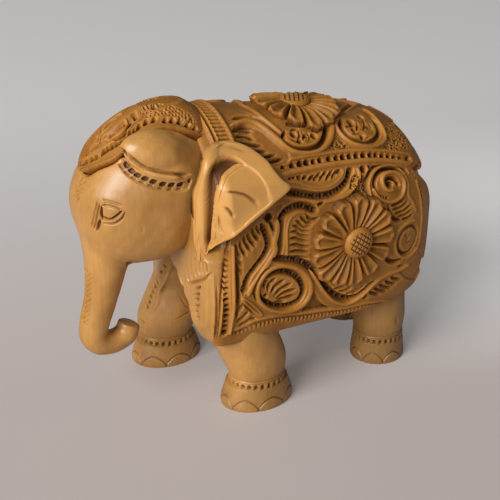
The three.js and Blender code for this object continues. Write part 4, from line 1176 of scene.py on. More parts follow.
def back_points():
    """The back from the rail on the left over to the right, as far as the rump's border"""
    fine = np.linspace(BACK_START, TORSO_LENGTH + CLOTH_WALL - 0.05, 1500)
    rise, *_ = torso_cut(TORSO_FRONT_X + fine, CLOTH_WALL)
    fine = fine[rise > RUMP_LINE * TORSO_RISE + 1.2]
    rise = rise[rise > RUMP_LINE * TORSO_RISE + 1.2]
    lengths = running(np.hypot(np.diff(fine), np.diff(rise)))
    x = TORSO_FRONT_X + np.interp(np.linspace(0, lengths[-1], BACK_COLUMNS), lengths, fine)
    seam = landing(cloth_tree, curve_through(BACK_SEAM, 6))
    low = np.interp(x, seam[:, 0], seam[:, 2])
    low = np.maximum(low, WAIST_Z + RUMP_LINE * TORSO_RISE - 1.0)
    return over_back(x, low, BACK_ROWS, CLOTH_WALL, 400)


def carve_back(carve):
    # Rail with its row of holes, between a thin line and a smooth band
    holes = [(284, 168), (293.5, 165.5), (301.5, 163.5), (308, 162.5), (315, 161.5), (321.5, 160),
             (330.5, 158.5), (338, 157.5), (344.5, 157), (351, 156), (358, 155.5), (365, 155), (372, 155),
             (377.5, 155), (384, 156), (390, 156.5), (396, 158), (402, 158.5), (409, 158.5)]
    rail = [(281, 169), (300, 164), (321, 160), (345, 157), (372, 155), (392, 157), (412, 160)]
    carve.channel(rail, 1.7, 0.8, taper=0.02)
    carve.pits(holes, 1.0, 2.8)
    carve.groove([(282, 165), (301, 159.5), (321, 156.5), (345, 153.5), (372, 151.5), (395, 153.5),
                 (412, 157)], 0.7, 0.5, 0.03)
    carve.band([(281, 161), (300, 157), (328, 152.8), (350, 150), (386, 150.5), (411, 154.5)], 1.0, 0.45,
               taper=0.02)
    carve.band([(283, 174.5), (301, 170), (321, 166), (345, 162.7), (370, 160.3), (392, 161), (410, 164)],
               1.7, 0.6, taper=0.02)

    # Leaf behind the ear, of overlapping leaflets
    carve.lower([(233, 126), (246, 124), (256, 127), (266, 133), (276, 142), (284, 149), (290, 154),
                (288, 163), (276, 166), (262, 160), (250, 152), (236, 146)], 0.8)
    carve.grooves([
        [(233, 130), (243, 128.5), (256, 131)], [(234, 136), (245, 134.5), (258, 139)],
        [(233, 141), (246, 141), (257, 144), (266, 144)],
        [(238, 147), (250, 147.5), (262, 150), (271, 150)],
        [(249, 153), (262, 155), (272, 155), (279, 152)], [(258, 159), (270, 161), (280, 159), (287, 156)]
    ], 2.2, 2.4, 0.25)
    carve.grooves([
        [(236, 133), (246, 131.5), (256, 135)], [(237, 138.5), (248, 138), (258, 141.5)],
        [(242, 144), (252, 144.5), (263, 147)], [(250, 150), (262, 152.5), (272, 152.5)],
        [(262, 158), (272, 158.5), (282, 156)]
    ], 1.7, 1.7, 0.3)

    # Long S rail and the smooth band over it
    carve.channel([(233, 119), (246, 116.5), (258, 119), (270, 127), (279, 135), (287, 142)], 1.6, 1.6,
                  taper=0.1)
    carve.channel([(232, 131), (242, 126), (254, 127.5)], 1.2, 1.7, taper=0.3)
    carve.band([(230, 126), (245, 121.5), (256, 123.5), (267, 130.5), (277, 139), (287, 147), (297, 152),
               (310, 152.5), (322, 149), (329.5, 140.5), (332, 130), (331, 120)], 1.7, 0.9, taper=0.05)
    carve.band([(238, 104), (252, 110), (264, 119), (276, 129), (284, 136)], 1.6, 0.6, taper=0.15)
    carve.groove([(236, 110), (250, 114), (262, 122)], 0.8, 0.6)

    # First medallion, deep behind its rail
    carve.channel([(285, 131), (283, 138), (288, 144), (297, 148), (309, 148.5), (319, 145), (324.5, 137),
                  (325.5, 128), (321, 121)], 1.6, 1.9, taper=0.1)
    carve.lower([(286, 122), (296, 119), (310, 119), (322, 122), (318, 127), (290, 127)], 1.0)
    carve.pits([(293.5, 134.5), (314, 136)], 1.05, 3.0)
    carve.pits([(306, 135.5), (300, 141)], 0.85, 2.2)
    carve.grooves([
        [(290, 131), (296, 129), (301, 131)], [(298, 140), (300, 135), (298, 130)],
        [(303, 141), (304, 136), (301.5, 131)], [(309, 141), (310, 136), (306, 131)],
        [(291, 139), (296, 141), (302, 142)], [(311, 131), (315, 131), (318, 134)]
    ], 1.08, 1.05)

    # Second medallion in a looped rail
    carve.channel([(341, 118), (341, 126), (346, 133), (353, 138.5), (364, 141), (374, 140), (379, 133),
                  (376, 124), (370, 117)], 1.5, 1.7, taper=0.1)
    carve.band([(335, 119), (336, 127), (342, 135.5), (350, 142), (361, 146), (372, 147), (381, 144),
               (385, 138), (383, 130), (378, 122), (370, 114), (362, 109.5)], 1.2, 0.8, taper=0.06)
    carve.pit((351, 122.5), 1.25, 3.2)
    carve.pits([(354, 130), (362.5, 136), (368.5, 127.5), (360.5, 117)], 0.9, 2.4)
    carve.grooves([
        [(345, 127), (350, 126), (355, 125)], [(356, 121), (358, 126), (356, 132)],
        [(363, 119), (365, 125), (363, 131)], [(352, 134), (359, 133), (366, 134)],
        [(358, 138), (365, 138.5), (371, 136)], [(366, 121), (371, 126), (373, 132)]
    ], 1.08, 1.05)

    # Pricked ground between the rails
    carve.stipple([(330, 149), (333, 141), (338, 138), (345, 143), (352, 147), (344, 149)], 0.95, 0.8, 1.5)
    carve.stipple([(383, 149), (387, 143), (394, 144), (400, 148), (396, 151)], 0.95, 0.8, 1.5)
    carve.stipple([(385, 128), (392, 119), (402, 130), (411, 145), (404, 149), (390, 141)], 1.2, 0.95, 1.6)
    carve.band([(345, 113), (356, 106), (368, 104), (382, 110), (394, 121)], 1.0, 0.5, taper=0.1)
    carve.channel([(340, 112), (348, 106), (358, 101.5)], 1.2, 1.2, taper=0.2)


back_cells = back_points()
folded = back_cells.copy()
folded[..., 1] = -np.abs(folded[..., 1])
back_carving = Carving(folded.reshape(-1, 3), cloth_tree)
carve_back(back_carving)
back_height = back_carving.height().reshape(back_cells.shape[:2])
# The cloth thins out in its last columns, towards the rump
back_height -= 1.1 * smooth(BACK_COLUMNS - 60, BACK_COLUMNS, np.arange(BACK_COLUMNS))[None]
lay_sheet("back_relief", back_cells, back_height,
          ["back_cloth", "left_back_front_medallion", "left_back_rear_medallion",
           "right_back_front_medallion", "right_back_rear_medallion"])


# Ears
EAR_HEIGHT = 36.0
EAR_LENGTH = 31.0
EAR_FRONT_X = HEAD_BACK_X - 0.375 * HEAD_LENGTH
EAR_BOTTOM_Z = HEAD_BOTTOM_Z + 0.095 * HEAD_HEIGHT
EAR_OUT = 1.09 * HEAD_HALF_WIDTH
EAR_FLARE = 12.0
EAR_FLARE_LENGTH = 0.27 * EAR_LENGTH
EAR_ROLL = 2.0
EAR_THIN = 0.9
EAR_DISH = 0.7
EAR_LEAST = 0.8
EAR_RINGS = 172
EAR_OUTER = 150
ear_shares = [
    (0.0, 0.042, 0.074, 0.2), (0.158, 0.023, 0.132, 0.6), (0.314, 0.013, 0.255, 1.0),
    (0.417, 0.01, 0.474, 1.0), (0.528, 0.01, 0.7, 1.0), (0.628, 0.013, 0.89, 0.97),
    (0.714, 0.029, 0.81, 0.9), (0.786, 0.048, 0.758, 0.75), (0.85, 0.071, 0.726, 0.55),
    (0.93, 0.113, 0.635, 0.25), (0.978, 0.194, 0.539, 0.0), (1.0, 0.29, 0.435, -0.1),
]


def ear_points():
    """Rings from the ear's tip up: the outer face, then the inner one"""
    up = np.linspace(0, 1, EAR_RINGS)
    _, start, stop, out = read_shares(ear_shares, up).T
    t = np.concatenate([np.linspace(0, 1, EAR_OUTER), np.linspace(1, 0, EAR_OUTER // 3)])[None]
    outer = np.concatenate([np.ones(EAR_OUTER), np.zeros(EAR_OUTER // 3)])[None]
    x = EAR_FRONT_X + (start[:, None] + (stop - start)[:, None] * t) * EAR_LENGTH
    flare = np.minimum(1, (x - EAR_FRONT_X) / EAR_FLARE_LENGTH)
    base = EAR_OUT + out[:, None] * EAR_FLARE * np.sin(math.pi / 2 * flare)
    wide = (stop - start)[:, None] * EAR_LENGTH
    roll = (EAR_ROLL - EAR_THIN) * np.maximum(0, 1 - t * wide / (2 * EAR_ROLL)) ** 0.7
    dish = EAR_DISH * np.sin(math.pi * t)
    edge = EAR_THIN * np.sqrt(np.maximum(0, 1 - (2 * t - 1) ** 8))
    y = base - dish + np.where(outer > 0, edge + roll, -EAR_THIN - 0.3)
    return grid(x, -y, EAR_BOTTOM_Z + up[:, None] * EAR_HEIGHT)


EAR_HOLLOW = [(243, 163.5), (234, 160), (224, 160.5), (215, 167.5), (209.5, 180), (208, 195), (207.5, 215),
              (207.5, 235), (208.5, 251)]


def carve_ear(carve):
    # Hollow behind the front rim, then the plate's creases
    carve.lower([(246, 163.5), (235, 158.5), (221, 159), (211, 168), (207, 186), (206.5, 215), (205.5, 240),
                (206, 258), (213.5, 252), (215.5, 236), (216.5, 220), (218, 205), (222, 190), (229, 177),
                (238, 168)], 2.9, 0.9)
    carve.channel(EAR_HOLLOW, 1.6, 3.2, wall=0.6, taper=0.1)
    carve.lower([(222, 161), (240, 162), (253, 168), (263, 178), (269.5, 192), (272, 212), (255, 224),
                (239, 234), (221, 248), (213, 240), (213, 205), (214, 180)], 0.55, 0.4)
    carve.band([(240, 152), (226, 151.5), (213, 157), (203, 172), (199.5, 190), (198.5, 215), (197.5, 240)],
               3.2, 0.55, wall=1.1, taper=0.1)
    carve.groove([(223.5, 195), (232, 192), (246, 195), (255, 201), (262, 208.5)], 1.3, 1.7, 0.2)
    carve.groove([(222, 206.5), (229, 212.5), (237, 219.5)], 1.8, 1.9, 0.3)
    carve.groove([(216.5, 211), (218.5, 224), (221, 232), (227, 239)], 1.1, 1.5, 0.3)


ear_cells = ear_points()
ear_tree = tree_of(skin(ear_cells[::3, ::2]))
ear_hollow = landing(ear_tree, EAR_HOLLOW)
ear_carving = Carving(ear_cells.reshape(-1, 3), ear_tree)
carve_ear(ear_carving)
out = grid_normals(ear_cells)
# Normals are turned by the way that most of the outer face looks
toward = np.sign(np.median(out[40:150, 20:120, 1]))
column = np.arange(ear_cells.shape[1])[None]
on_face = (column < EAR_OUTER - 2) & (column > 1)
above_tip = smooth(0.03, 0.16, np.linspace(0, 1, EAR_RINGS))[:, None]
ear_height = spread(ear_carving.height().reshape(ear_cells.shape[:2]), 1) * on_face * above_tip
ear_raised = ear_cells - toward * out * ear_height[..., None]
# The inner face keeps a distance from the carved outer one
behind = np.round(np.linspace(1, 0, EAR_OUTER // 3) * (EAR_OUTER - 1)).astype(int)
inward = toward * out[:, behind]
gap = np.sum((ear_raised[:, EAR_OUTER:] - ear_raised[:, behind]) * inward, axis=2, keepdims=True)
ear_raised[:, EAR_OUTER:] += inward * np.maximum(0, EAR_LEAST - gap)
# Darker in the ear's deep hollow: painted shade with the cut's darker unpolished wood. Paler over the rest
# of the ear: a painted sheen
ear_marks = {"hollow": smooth(0.6, 1.9, -ear_height), "edge": 1.0 - smooth(0.6, 1.3, -ear_height)}
for side in (LEFT, RIGHT):
    cells = ear_raised * np.array([1.0, -side, 1.0])
    finish_piece(f"{SIDE_NAMES[side]}_ear_flap", skin(cells, ear_marks), smooth_wood,
                 [f"{SIDE_NAMES[side]}_ear"])


def give_way(spots, reach=4.2, room=6.4):
    """Moves places inwards where they would fill the ears' hollows from behind"""
    flat, line = spots[:, ::2], ear_hollow[:, ::2]
    away, k, t = nearest_on(line, flat)
    level = np.abs(ear_hollow[k, 1] + t * (ear_hollow[k + 1, 1] - ear_hollow[k, 1]))
    over = np.abs(spots[:, 1]) - (level - room + 6 * smooth(0.5 * reach, 1.4 * reach, away))
    over *= smooth(EAR_BOTTOM_Z + 1, EAR_BOTTOM_Z + 7, spots[:, 2])
    spots[:, 1] -= np.sign(spots[:, 1]) * np.where(away < 1.4 * reach, np.clip(over, 0, room), 0)
    return spots


# Head, trunk and lobes
def form_tree(mesh):
    """A mesh's faces for casting lines at"""
    spots = spots_of(mesh)
    faces = [tuple(face.vertices) for face in mesh.polygons]
    return BVHTree.FromPolygons([Vector(spot) for spot in spots], faces)


def refine(mesh, boxes, cuts):
    """Finer faces where the photograph shows fine cuts; boxes are in its pixels"""
    bm = bmesh.new()
    bm.from_mesh(mesh)
    spots = spots_of(mesh)
    pixels = pixel_of(spots)
    facing = normals_of(mesh) @ VIEW_BACK > -0.1
    chosen = np.zeros(len(spots), bool)
    for left, top, right, bottom in boxes:
        x, y = pixels.T
        chosen |= facing & (x > left) & (x < right) & (y > top) & (y < bottom)
    bm.verts.ensure_lookup_table()
    edges = [e for e in bm.edges if chosen[e.verts[0].index] and chosen[e.verts[1].index]]
    bmesh.ops.subdivide_edges(bm, edges=edges, cuts=cuts, use_grid_fill=True, smooth=0.0)
    bmesh.ops.triangulate(bm, faces=[f for f in bm.faces if len(f.verts) > 4])
    bm.to_mesh(mesh)
    bm.free()


def relax(mesh, share, rounds):
    """Settles a mesh towards its neighbours' middles, as far as each vertex's share"""
    edges = np.empty(len(mesh.edges) * 2, np.int32)
    mesh.edges.foreach_get("vertices", edges)
    first, second = edges.reshape(-1, 2).T
    spots = spots_of(mesh)
    count = np.bincount(first, minlength=len(spots)) + np.bincount(second, minlength=len(spots))
    for _ in range(rounds):
        total = np.stack([
            np.bincount(first, along[second], len(spots)) + np.bincount(second, along[first], len(spots))
            for along in spots.T], 1)
        spots += (total / count[:, None] - spots) * (0.5 * share)[:, None]
    move_to(mesh, spots)


def profile_line(tree, heights, y):
    """Places down the front of a form, near its middle line"""
    places = []
    for z in heights:
        hit = tree.ray_cast(Vector((-120, y, z)), Vector((1, 0, 0)))[0]
        if hit is not None:
            places.append(tuple(hit))
    return places


def carved_piece(name, mesh, carve, nodes, facets):
    """Pushes a fused form's skin in and out as it is carved, with low knife facets all over it"""
    x, y, z = carve.spots.T
    height = carve.height() + facets * np.sin(x * 0.9 + 1.7 * np.sin(z * 0.23)) * np.sin(z * 0.7 + y * 0.6)
    move_to(mesh, spots_of(mesh) + normals_of(mesh) * height[:, None])
    # The cuts are darker, painted shade with the cuts' darker unpolished wood, and the raised bands paler, a
    # painted highlight
    add_mark(mesh, "hollow", smooth(0.2, 1.25, carve.cut))
    add_mark(mesh, "edge", smooth(0.1, 0.6, carve.rise))
    bm = bmesh.new()
    bm.from_mesh(mesh)
    bpy.data.meshes.remove(mesh)
    finish_piece(name, bm, smooth_wood, nodes)


NOTCH_HALF = 3.2
NOTCH_TALL = 2.6
NOTCH_SLOPE = 4.6


def carve_head(carve):
    # Notched band under the lobe: each notch is deep above and slopes out below
    notches = [(121.3, 156), (125.8, 165), (131.3, 170.6), (137.4, 175), (145.4, 178.6), (153.8, 181.8),
               (163.6, 184.4), (172.4, 185.2), (181.3, 184.8)]
    carve.channel([(122, 161), (128, 170.5), (137, 177.5), (150, 183.5), (164, 187), (181, 187.5),
                  (190, 184)], 2.4, 0.45, wall=0.5, taper=0.04)
    for place, (x, y) in enumerate(notches):
        ax, ay = notches[max(place - 1, 0)]
        bx, by = notches[min(place + 1, len(notches) - 1)]
        run = np.array([bx - ax, by - ay]) / math.hypot(bx - ax, by - ay)
        down = np.array([-run[1], run[0]]) * 0.9 - run * 0.35
        middle = np.array([x, y])
        corners = [middle + NOTCH_HALF * a * run + NOTCH_TALL * b * down
                   for a, b in ((-1, -1), (1, -1), (1, 1), (-1, 1))]
        carve.lower(corners, 1.7, 0.4)
        slope = NOTCH_SLOPE * down
        carve.lower([corners[3], corners[2], corners[2] + slope, corners[3] + slope], 0.8, 0.6)
    carve.pit((190, 181), 0.55, 1.6)

    # Crease between the lobe and the rolled rim under it
    carve.groove([(128, 153), (134, 160.5), (145.4, 168.3), (161.7, 173), (181, 174.8), (191, 174)], 1.8,
                 1.1, 0.12)
    carve.band([(131, 162.5), (145, 171), (161.5, 176), (181, 178)], 1.5, 0.5, wall=0.5, taper=0.15)
    carve.channel([(118, 149), (124, 152), (127, 156)], 1.4, 1.6, taper=0.3)

    # Eye: lids, ball and the knife lines beside them
    carve.channel([(101.2, 206.5), (101.2, 213), (102.5, 219.5)], 0.75, 1.5, wall=0.25, taper=0.25)
    carve.channel([(100, 220), (98, 226), (96.5, 231)], 1.0, 1.2, wall=0.35, taper=0.4)
    carve.groove([(97.4, 200.5), (94.5, 214), (91.5, 228)], 0.8, 0.6, 0.12)
    carve.groove([(99.6, 203), (97, 216), (94, 230)], 0.8, 0.7, 0.12)
    carve.groove([(101.5, 199.3), (112, 202), (124, 206)], 0.7, 0.55, 0.12)
    carve.groove([(103, 202.6), (112, 204.3), (121, 207.5)], 0.7, 0.6, 0.12)
    carve.channel([(103.5, 216.8), (109.5, 219.6), (115, 217.2), (121.5, 211.3)], 0.65, 1.3, wall=0.22,
                  taper=0.12)
    carve.channel([(104, 223.5), (113.5, 224), (121.5, 219.3), (125, 213)], 0.6, 0.9, wall=0.3, taper=0.25)
    carve.groove([(101.5, 205.6), (108, 205), (115, 207), (122, 210.6)], 0.7, 0.8, 0.1)
    carve.groove([(141.5, 226), (143, 230), (142.3, 234)], 1.1, 0.25, 0.4)

    # Mouth, the jaw and the knife facets inside the trunk's curl
    carve.groove([(140, 264.5), (155, 264), (172, 264.8), (184, 266)], 0.9, 0.45, 0.2)
    carve.lower([(126, 263), (132, 261.5), (138, 263.5), (136, 268.5), (128, 268)], 1.4, 0.7)

    # Slanted ticks down the middle of the forehead and the trunk
    middle = profile_line(carve.tree, np.linspace(83, 12, 72), -0.6)
    rows = pixel_of(np.array(middle))[:, 1]
    for top, bottom in ((175, 206), (269, 331)):
        part = [place for place, row in zip(middle, rows) if top < row < bottom]
        carve.ticks(part[::3], 1.8, 0.8, 5.4, 0.8, lean=0.9)


# The crown under the cap, and the cap's border on it
HEAD_HEART = (-42.0, 0.0, 72.0)
CAP_LIFT = 1.4
CAP_SINK = 3.2
BROW_X = -60.0
CAP_EDGE = [(77.5, 168), (84, 172.0), (97.6, 165.7), (113.8, 159), (125.3, 149.4), (136.8, 140.8),
            (148.3, 132.8), (161.7, 128), (176, 128.5), (190.4, 132.6), (203.8, 137)]


def radial(spots):
    """Directions out of the head's heart, and how far out each place is"""
    away = spots - np.array(HEAD_HEART)
    far = np.linalg.norm(away, axis=-1, keepdims=True)
    return away / far, far


def out_of_heart(tree, target):
    """Where a line from inside the head towards a place leaves the head"""
    heart = Vector(HEAD_HEART)
    ray = (Vector(target) - heart).normalized()
    return tree.ray_cast(heart + 90 * ray, -ray)[0]


crown_form = head_form(110, 150)
for v in crown_form.verts:
    away = v.co - Vector(HEAD_HEART)
    v.co += away.normalized() * CAP_LIFT
crown_tree = tree_of(crown_form)
cap_edge = landing(crown_tree, curve_through(CAP_EDGE[::-1], 8))
cap_edge[:, 1] = -np.abs(cap_edge[:, 1])
cap_edge = cap_edge[cap_edge[:, 1] < -0.9]
cap_plan = np.vstack([cap_edge[:, :2] * (1, -1), cap_edge[::-1, :2]])


def under_cap(spots):
    """How far under the cap each place is: 0 at its border, 1 from there in"""
    share = inside(cap_plan, spots[:, :2]) & (spots[:, 2] > HEAD_HEART[2])
    found = np.nonzero(share)[0]
    flat = np.stack([spots[found, 0], -np.abs(spots[found, 1])], 1)
    away, *_ = nearest_on(cap_edge[:, :2], flat)
    full = np.zeros(len(spots))
    full[found] = smooth(0.2, 1.6, away)
    return full


# The head is fused, settled behind the lobes and at the trunk's root, and sunk under the cap
HEAD_VOXEL = 0.435
EYE_BOX = (88, 196, 128, 236)
BROW_BOX = (116, 148, 196, 196)
head_mesh = fuse([head_form(), trunk_form(), lobe_form(LEFT), lobe_form(RIGHT)], HEAD_VOXEL)
x, y, z = spots_of(head_mesh).T
root = smooth(50, 56, z) * smooth(75, 66, z) * smooth(-38, -46, x)
behind = smooth(-37, -31, x) * smooth(80, 84, z) * smooth(102, 96, z)
relax(head_mesh, np.maximum(root, behind), 160)
spots = spots_of(head_mesh)
tucked = under_cap(spots)
for place in np.nonzero(tucked > 0)[0]:
    limit = out_of_heart(crown_tree, spots[place])
    over = (Vector(spots[place]) - Vector(HEAD_HEART)).length - (limit - Vector(HEAD_HEART)).length
    over += CAP_SINK
    if over > 0:
        spots[place] -= radial(spots[place])[0] * over * tucked[place]
spots = give_way(spots)
spots[:, 0] = np.where(spots[:, 0] < BROW_X, BROW_X + 0.95 * (spots[:, 0] - BROW_X), spots[:, 0])
move_to(head_mesh, spots)
head_tree = form_tree(head_mesh)
refine(head_mesh, [EYE_BOX, BROW_BOX], 2)
head_carving = Carving(spots_of(head_mesh), head_tree)
carve_head(head_carving)
carve_other_side(head_carving, carve_head, head_carving.spots[:, 1] > 0)
carved_piece("head_and_trunk", head_mesh, head_carving,
             ["head", "trunk", "left_temple_lobe", "right_temple_lobe", "left_brow_band", "right_brow_band"],
             facets=0.05)

# Eyeballs
for side in (LEFT, RIGHT):
    spots = landing(head_carving.tree, curve_through(
        [(102.8, 208.5), (106.5, 206.6), (113, 208.2), (120, 211), (114.5, 215.8), (109, 218), (104, 215.3)],
        8, closed=True))
    middle = spots.mean(0)
    rings = np.linspace(0.02, 1, 24)[:, None, None]
    ball = middle + (spots[None, :-1] - middle) * rings
    out = -sight((110, 212))
    ball = ball + out * (0.55 * np.sqrt(np.clip(1 - rings**2.2, 0, 1)) - 0.35)
    base = ball[-1:] - out * 1.2
    ball = np.vstack([ball, base])
    if side == RIGHT:
        ball = ball * OTHER_SIDE
    finish_piece(f"{SIDE_NAMES[side]}_eyeball", skin(ball), smooth_wood,
                 [f"{SIDE_NAMES[side]}_eye"])


# Cap over the crown
CAP_COLUMNS = 330
CAP_ROWS = 260
CAP_REAR = (-21.5, 0.0, 99.0)
CAP_TIP_HALF = 0.7
CAP_TOP_Z = 102.55


def cap_points():
    """A grid over the crown, out to the border read off the photograph"""
    tip = np.array(out_of_heart(crown_tree, cap_edge[-1] * np.array([1.0, 0.0, 1.0])))
    edge = even_paces(np.vstack([cap_edge, tip - (0, CAP_TIP_HALF, 0)]), CAP_COLUMNS)
    turns = np.linspace(0, 1, CAP_COLUMNS)
    start, stop = np.array(CAP_REAR) - HEAD_HEART, tip - HEAD_HEART
    first, last = math.atan2(start[2], start[0]), math.atan2(stop[2], stop[0])
    crest = np.array([
        out_of_heart(crown_tree, (HEAD_HEART[0] + math.cos(a), 0.0, HEAD_HEART[2] + math.sin(a)))
        for a in first + (last - first) * turns])
    crest = even_paces(crest, CAP_COLUMNS)
    points = np.empty((CAP_ROWS, CAP_COLUMNS, 3))
    for r, share in enumerate(np.linspace(-1, 1, CAP_ROWS)):
        turned = np.array([1.0, -1.0 if share > 0 else 1.0, 1.0])
        targets = (crest + abs(share) * (edge - crest)) * turned
        points[r] = [out_of_heart(crown_tree, target) for target in targets]
    for _ in range(4):
        points[1:-1, 1:-1] += 0.25 * (points[:-2, 1:-1] + points[2:, 1:-1] + points[1:-1, :-2]
                                      + points[1:-1, 2:] - 4 * points[1:-1, 1:-1])
    return points


def carve_cap(carve):
    holes = [(84.5, 162.5), (90, 160), (94.7, 157.5), (102.5, 152), (106.5, 149.3), (111.5, 146.5),
             (116.5, 143), (121, 140.5), (125.5, 136.8), (130, 133), (134, 130.3), (139, 126),
             (146, 121.6), (154, 119.5), (165, 119.8), (172.3, 120), (180, 121.2), (187.5, 125),
             (195, 129.2), (201.5, 133.3)]
    row = [(82, 164), (95, 158), (107, 150), (120, 142), (131, 133), (141, 125), (154, 120), (172, 120.5),
           (188, 125.5), (203, 134.5)]
    carve.channel(row, 1.5, 0.6, taper=0.03)
    for x, y in holes:
        carve.channel([(x - 1.0, y + 1.3), (x + 1.0, y - 1.3)], 1.15, 2.5, wall=0.25)
    carve.band([(76, 170.5), (84, 170), (97, 165), (113, 158.5), (124, 150), (136, 139.5), (148, 130),
               (162, 126.3), (176, 127.5), (190, 132), (204, 139)], 1.35, 0.5, taper=0.02)
    carve.band([(80, 162), (86, 158.5), (97, 151), (110, 143.8), (120, 138), (128, 130.5), (134, 123.5),
               (142, 118.5)], 0.9, 0.5, taper=0.06)

    # Scroll leaf on the brow of the cap
    carve.grooves([
        [(89, 147), (97, 140), (104, 133)], [(95, 149), (101, 141.5), (106, 134)],
        [(104, 140), (107.5, 134), (112, 129.5)],
        [(109, 136.5), (116, 134), (122, 129.5), (126, 124), (125.5, 120)],
        [(115, 122), (121, 118), (127, 117)], [(121, 132), (128, 127), (132, 119)],
        [(86, 153), (94, 147), (100, 144)], [(130, 116), (134, 115), (137, 118)],
        [(112, 141), (121, 136), (127, 130)]
    ], 1.9, 3.0, 0.2)
    carve.band([(101, 143), (107, 140.5), (117, 137), (124, 131), (127, 124), (123, 119.5), (117, 121.5),
               (109, 129), (103, 135)], 1.1, 0.9, taper=0.1)

    # Ridge over the middle of the crown with the shadowed hollow beside it
    ridge = np.linspace((-57.0, 0.0, 101.0), (-29.0, 0.0, 103.0), 9)
    carve.band([tuple(out_of_heart(crown_tree, spot)) for spot in ridge], 3.4, 1.0, wall=0.6, taper=0.25)
    beside = [tuple(out_of_heart(crown_tree, spot - (0.0, 3.4, 0.0))) for spot in ridge]
    carve.channel(beside, 1.8, 0.9, wall=0.7, taper=0.3)

    # Pricked crown
    carve.stipple([(140, 108), (150, 104), (165, 104), (180, 108), (192, 116), (196, 124), (186, 121),
                  (172, 116), (156, 115.5), (145, 117)], 1.15, 0.95, 1.2)


cap_cells = cap_points()
cap_carving = Carving(cap_cells.reshape(-1, 3), sheet_tree(cap_cells[::4, ::4]))
carve_cap(cap_carving)
unseen = (cap_carving.spots[:, 1] > 0) & (cap_carving.rise + cap_carving.cut == 0)
carve_other_side(cap_carving, carve_cap, unseen)
cap_height = cap_carving.height().reshape(cap_cells.shape[:2])
cap_out = radial(cap_cells)[0]
cap_height = np.minimum(cap_height, (CAP_TOP_Z - cap_cells[..., 2]) / np.maximum(cap_out[..., 2], 0.3))
lay_sheet("cap_relief", cap_cells, cap_height, ["cap", "cap_rail"], depth=2.4, out=cap_out)


# Collar over the neck
COLLAR_WALL = 3.2
COLLAR_FRONT_X = -32.5
COLLAR_REAR_X = -15.8
COLLAR_LOW_Z = 72.0
COLLAR_COLUMNS = 72
COLLAR_ROWS = 380
COLLAR_PACE = 0.21
TICK_PITCH = 1.5
collar_x = np.linspace(COLLAR_FRONT_X, COLLAR_REAR_X, COLLAR_COLUMNS)
collar_low = np.full(COLLAR_COLUMNS, COLLAR_LOW_Z)
collar_cells = over_back(collar_x, collar_low, COLLAR_ROWS, COLLAR_WALL, 600)
across = np.linspace(-0.43, 1, COLLAR_COLUMNS)[None]
lean = np.arange(COLLAR_ROWS)[:, None] * COLLAR_PACE + 1.6 * across
tick = smooth(0.25, 0.6, np.abs(np.modf(lean / TICK_PITCH)[0] - 0.5) * 2)
between = smooth(0.52, 0.6, across) * (1 - smooth(0.82, 0.9, across))
collar_height = -0.9 * smooth(0.42, 0.3, across) - 1.2 * smooth(0.06, -0.08, across)
collar_height = collar_height - 1.1 * between * (1 - tick) - 0.25 * between
collar_height = collar_height - 1.3 * np.exp(-((across - 0.47) / 0.035) ** 2)
collar_height = collar_height - 1.2 * smooth(0.94, 1.0, across)
lay_sheet("collar_relief", collar_cells, collar_height, ["collar"])


# Body and legs
SHOULDER_TOP_Z = 62.0
SHOULDER_Y = [8.4, 21.0, 36.4]
SHOULDER_BACK = [0.0, SET_BACK, SET_BACK + 2.3]
BODY_VOXEL = 0.745
SHOULDER_BOX = (184, 240, 222, 345)
FORELEG_BOX = (140, 262, 200, 330)
# The chest is hollowed, and the right shoulder is set back
trunk_of_body = torso_form(0.0, 130, 220)
hollow_halves = np.array([CHEST_HOLLOW_LENGTH, CHEST_HOLLOW_HALF_WIDTH, CHEST_HOLLOW_TOP - BELLY_Z])
for v in trunk_of_body.verts:
    offset = (np.array(v.co) - (TORSO_FRONT_X, 0, BELLY_Z)) / hollow_halves
    reach = np.linalg.norm(offset)
    if reach < 1:
        spot = offset / max(reach, 1e-6) * hollow_halves
        v.co = Vector(spot + (TORSO_FRONT_X, 0, BELLY_Z))
    set_back = np.interp(v.co.y, SHOULDER_Y, SHOULDER_BACK)
    low = smooth(SHOULDER_TOP_Z + 3, SHOULDER_TOP_Z - 5, v.co.z)
    if v.co.y > SHOULDER_Y[0]:
        v.co.x = max(v.co.x, TORSO_FRONT_X + set_back * low)

# The body is cut in under the cloth, so that deep holes in the cloth stay dark
BODY_SINK = 1.9
COVER_REACH = 3.2
COVER_RIM = 10
covers = [sheet_tree(cells[COVER_RIM:-COVER_RIM:4, COVER_RIM:-COVER_RIM:4])
          for cells in (flank_cells, mirrored(flank_cells), back_cells)]
for v in trunk_of_body.verts:
    for cover in covers:
        spot, _, _, gap = cover.find_nearest(v.co, COVER_REACH)
        if spot is not None:
            v.co += (v.co - spot).normalized() * BODY_SINK * smooth(3.1, 2.1, gap)
            break
body_mesh = fuse([trunk_of_body] + [leg_form(*leg) for leg in leg_shares.values()], BODY_VOXEL)
refine(body_mesh, [SHOULDER_BOX, FORELEG_BOX], 2)


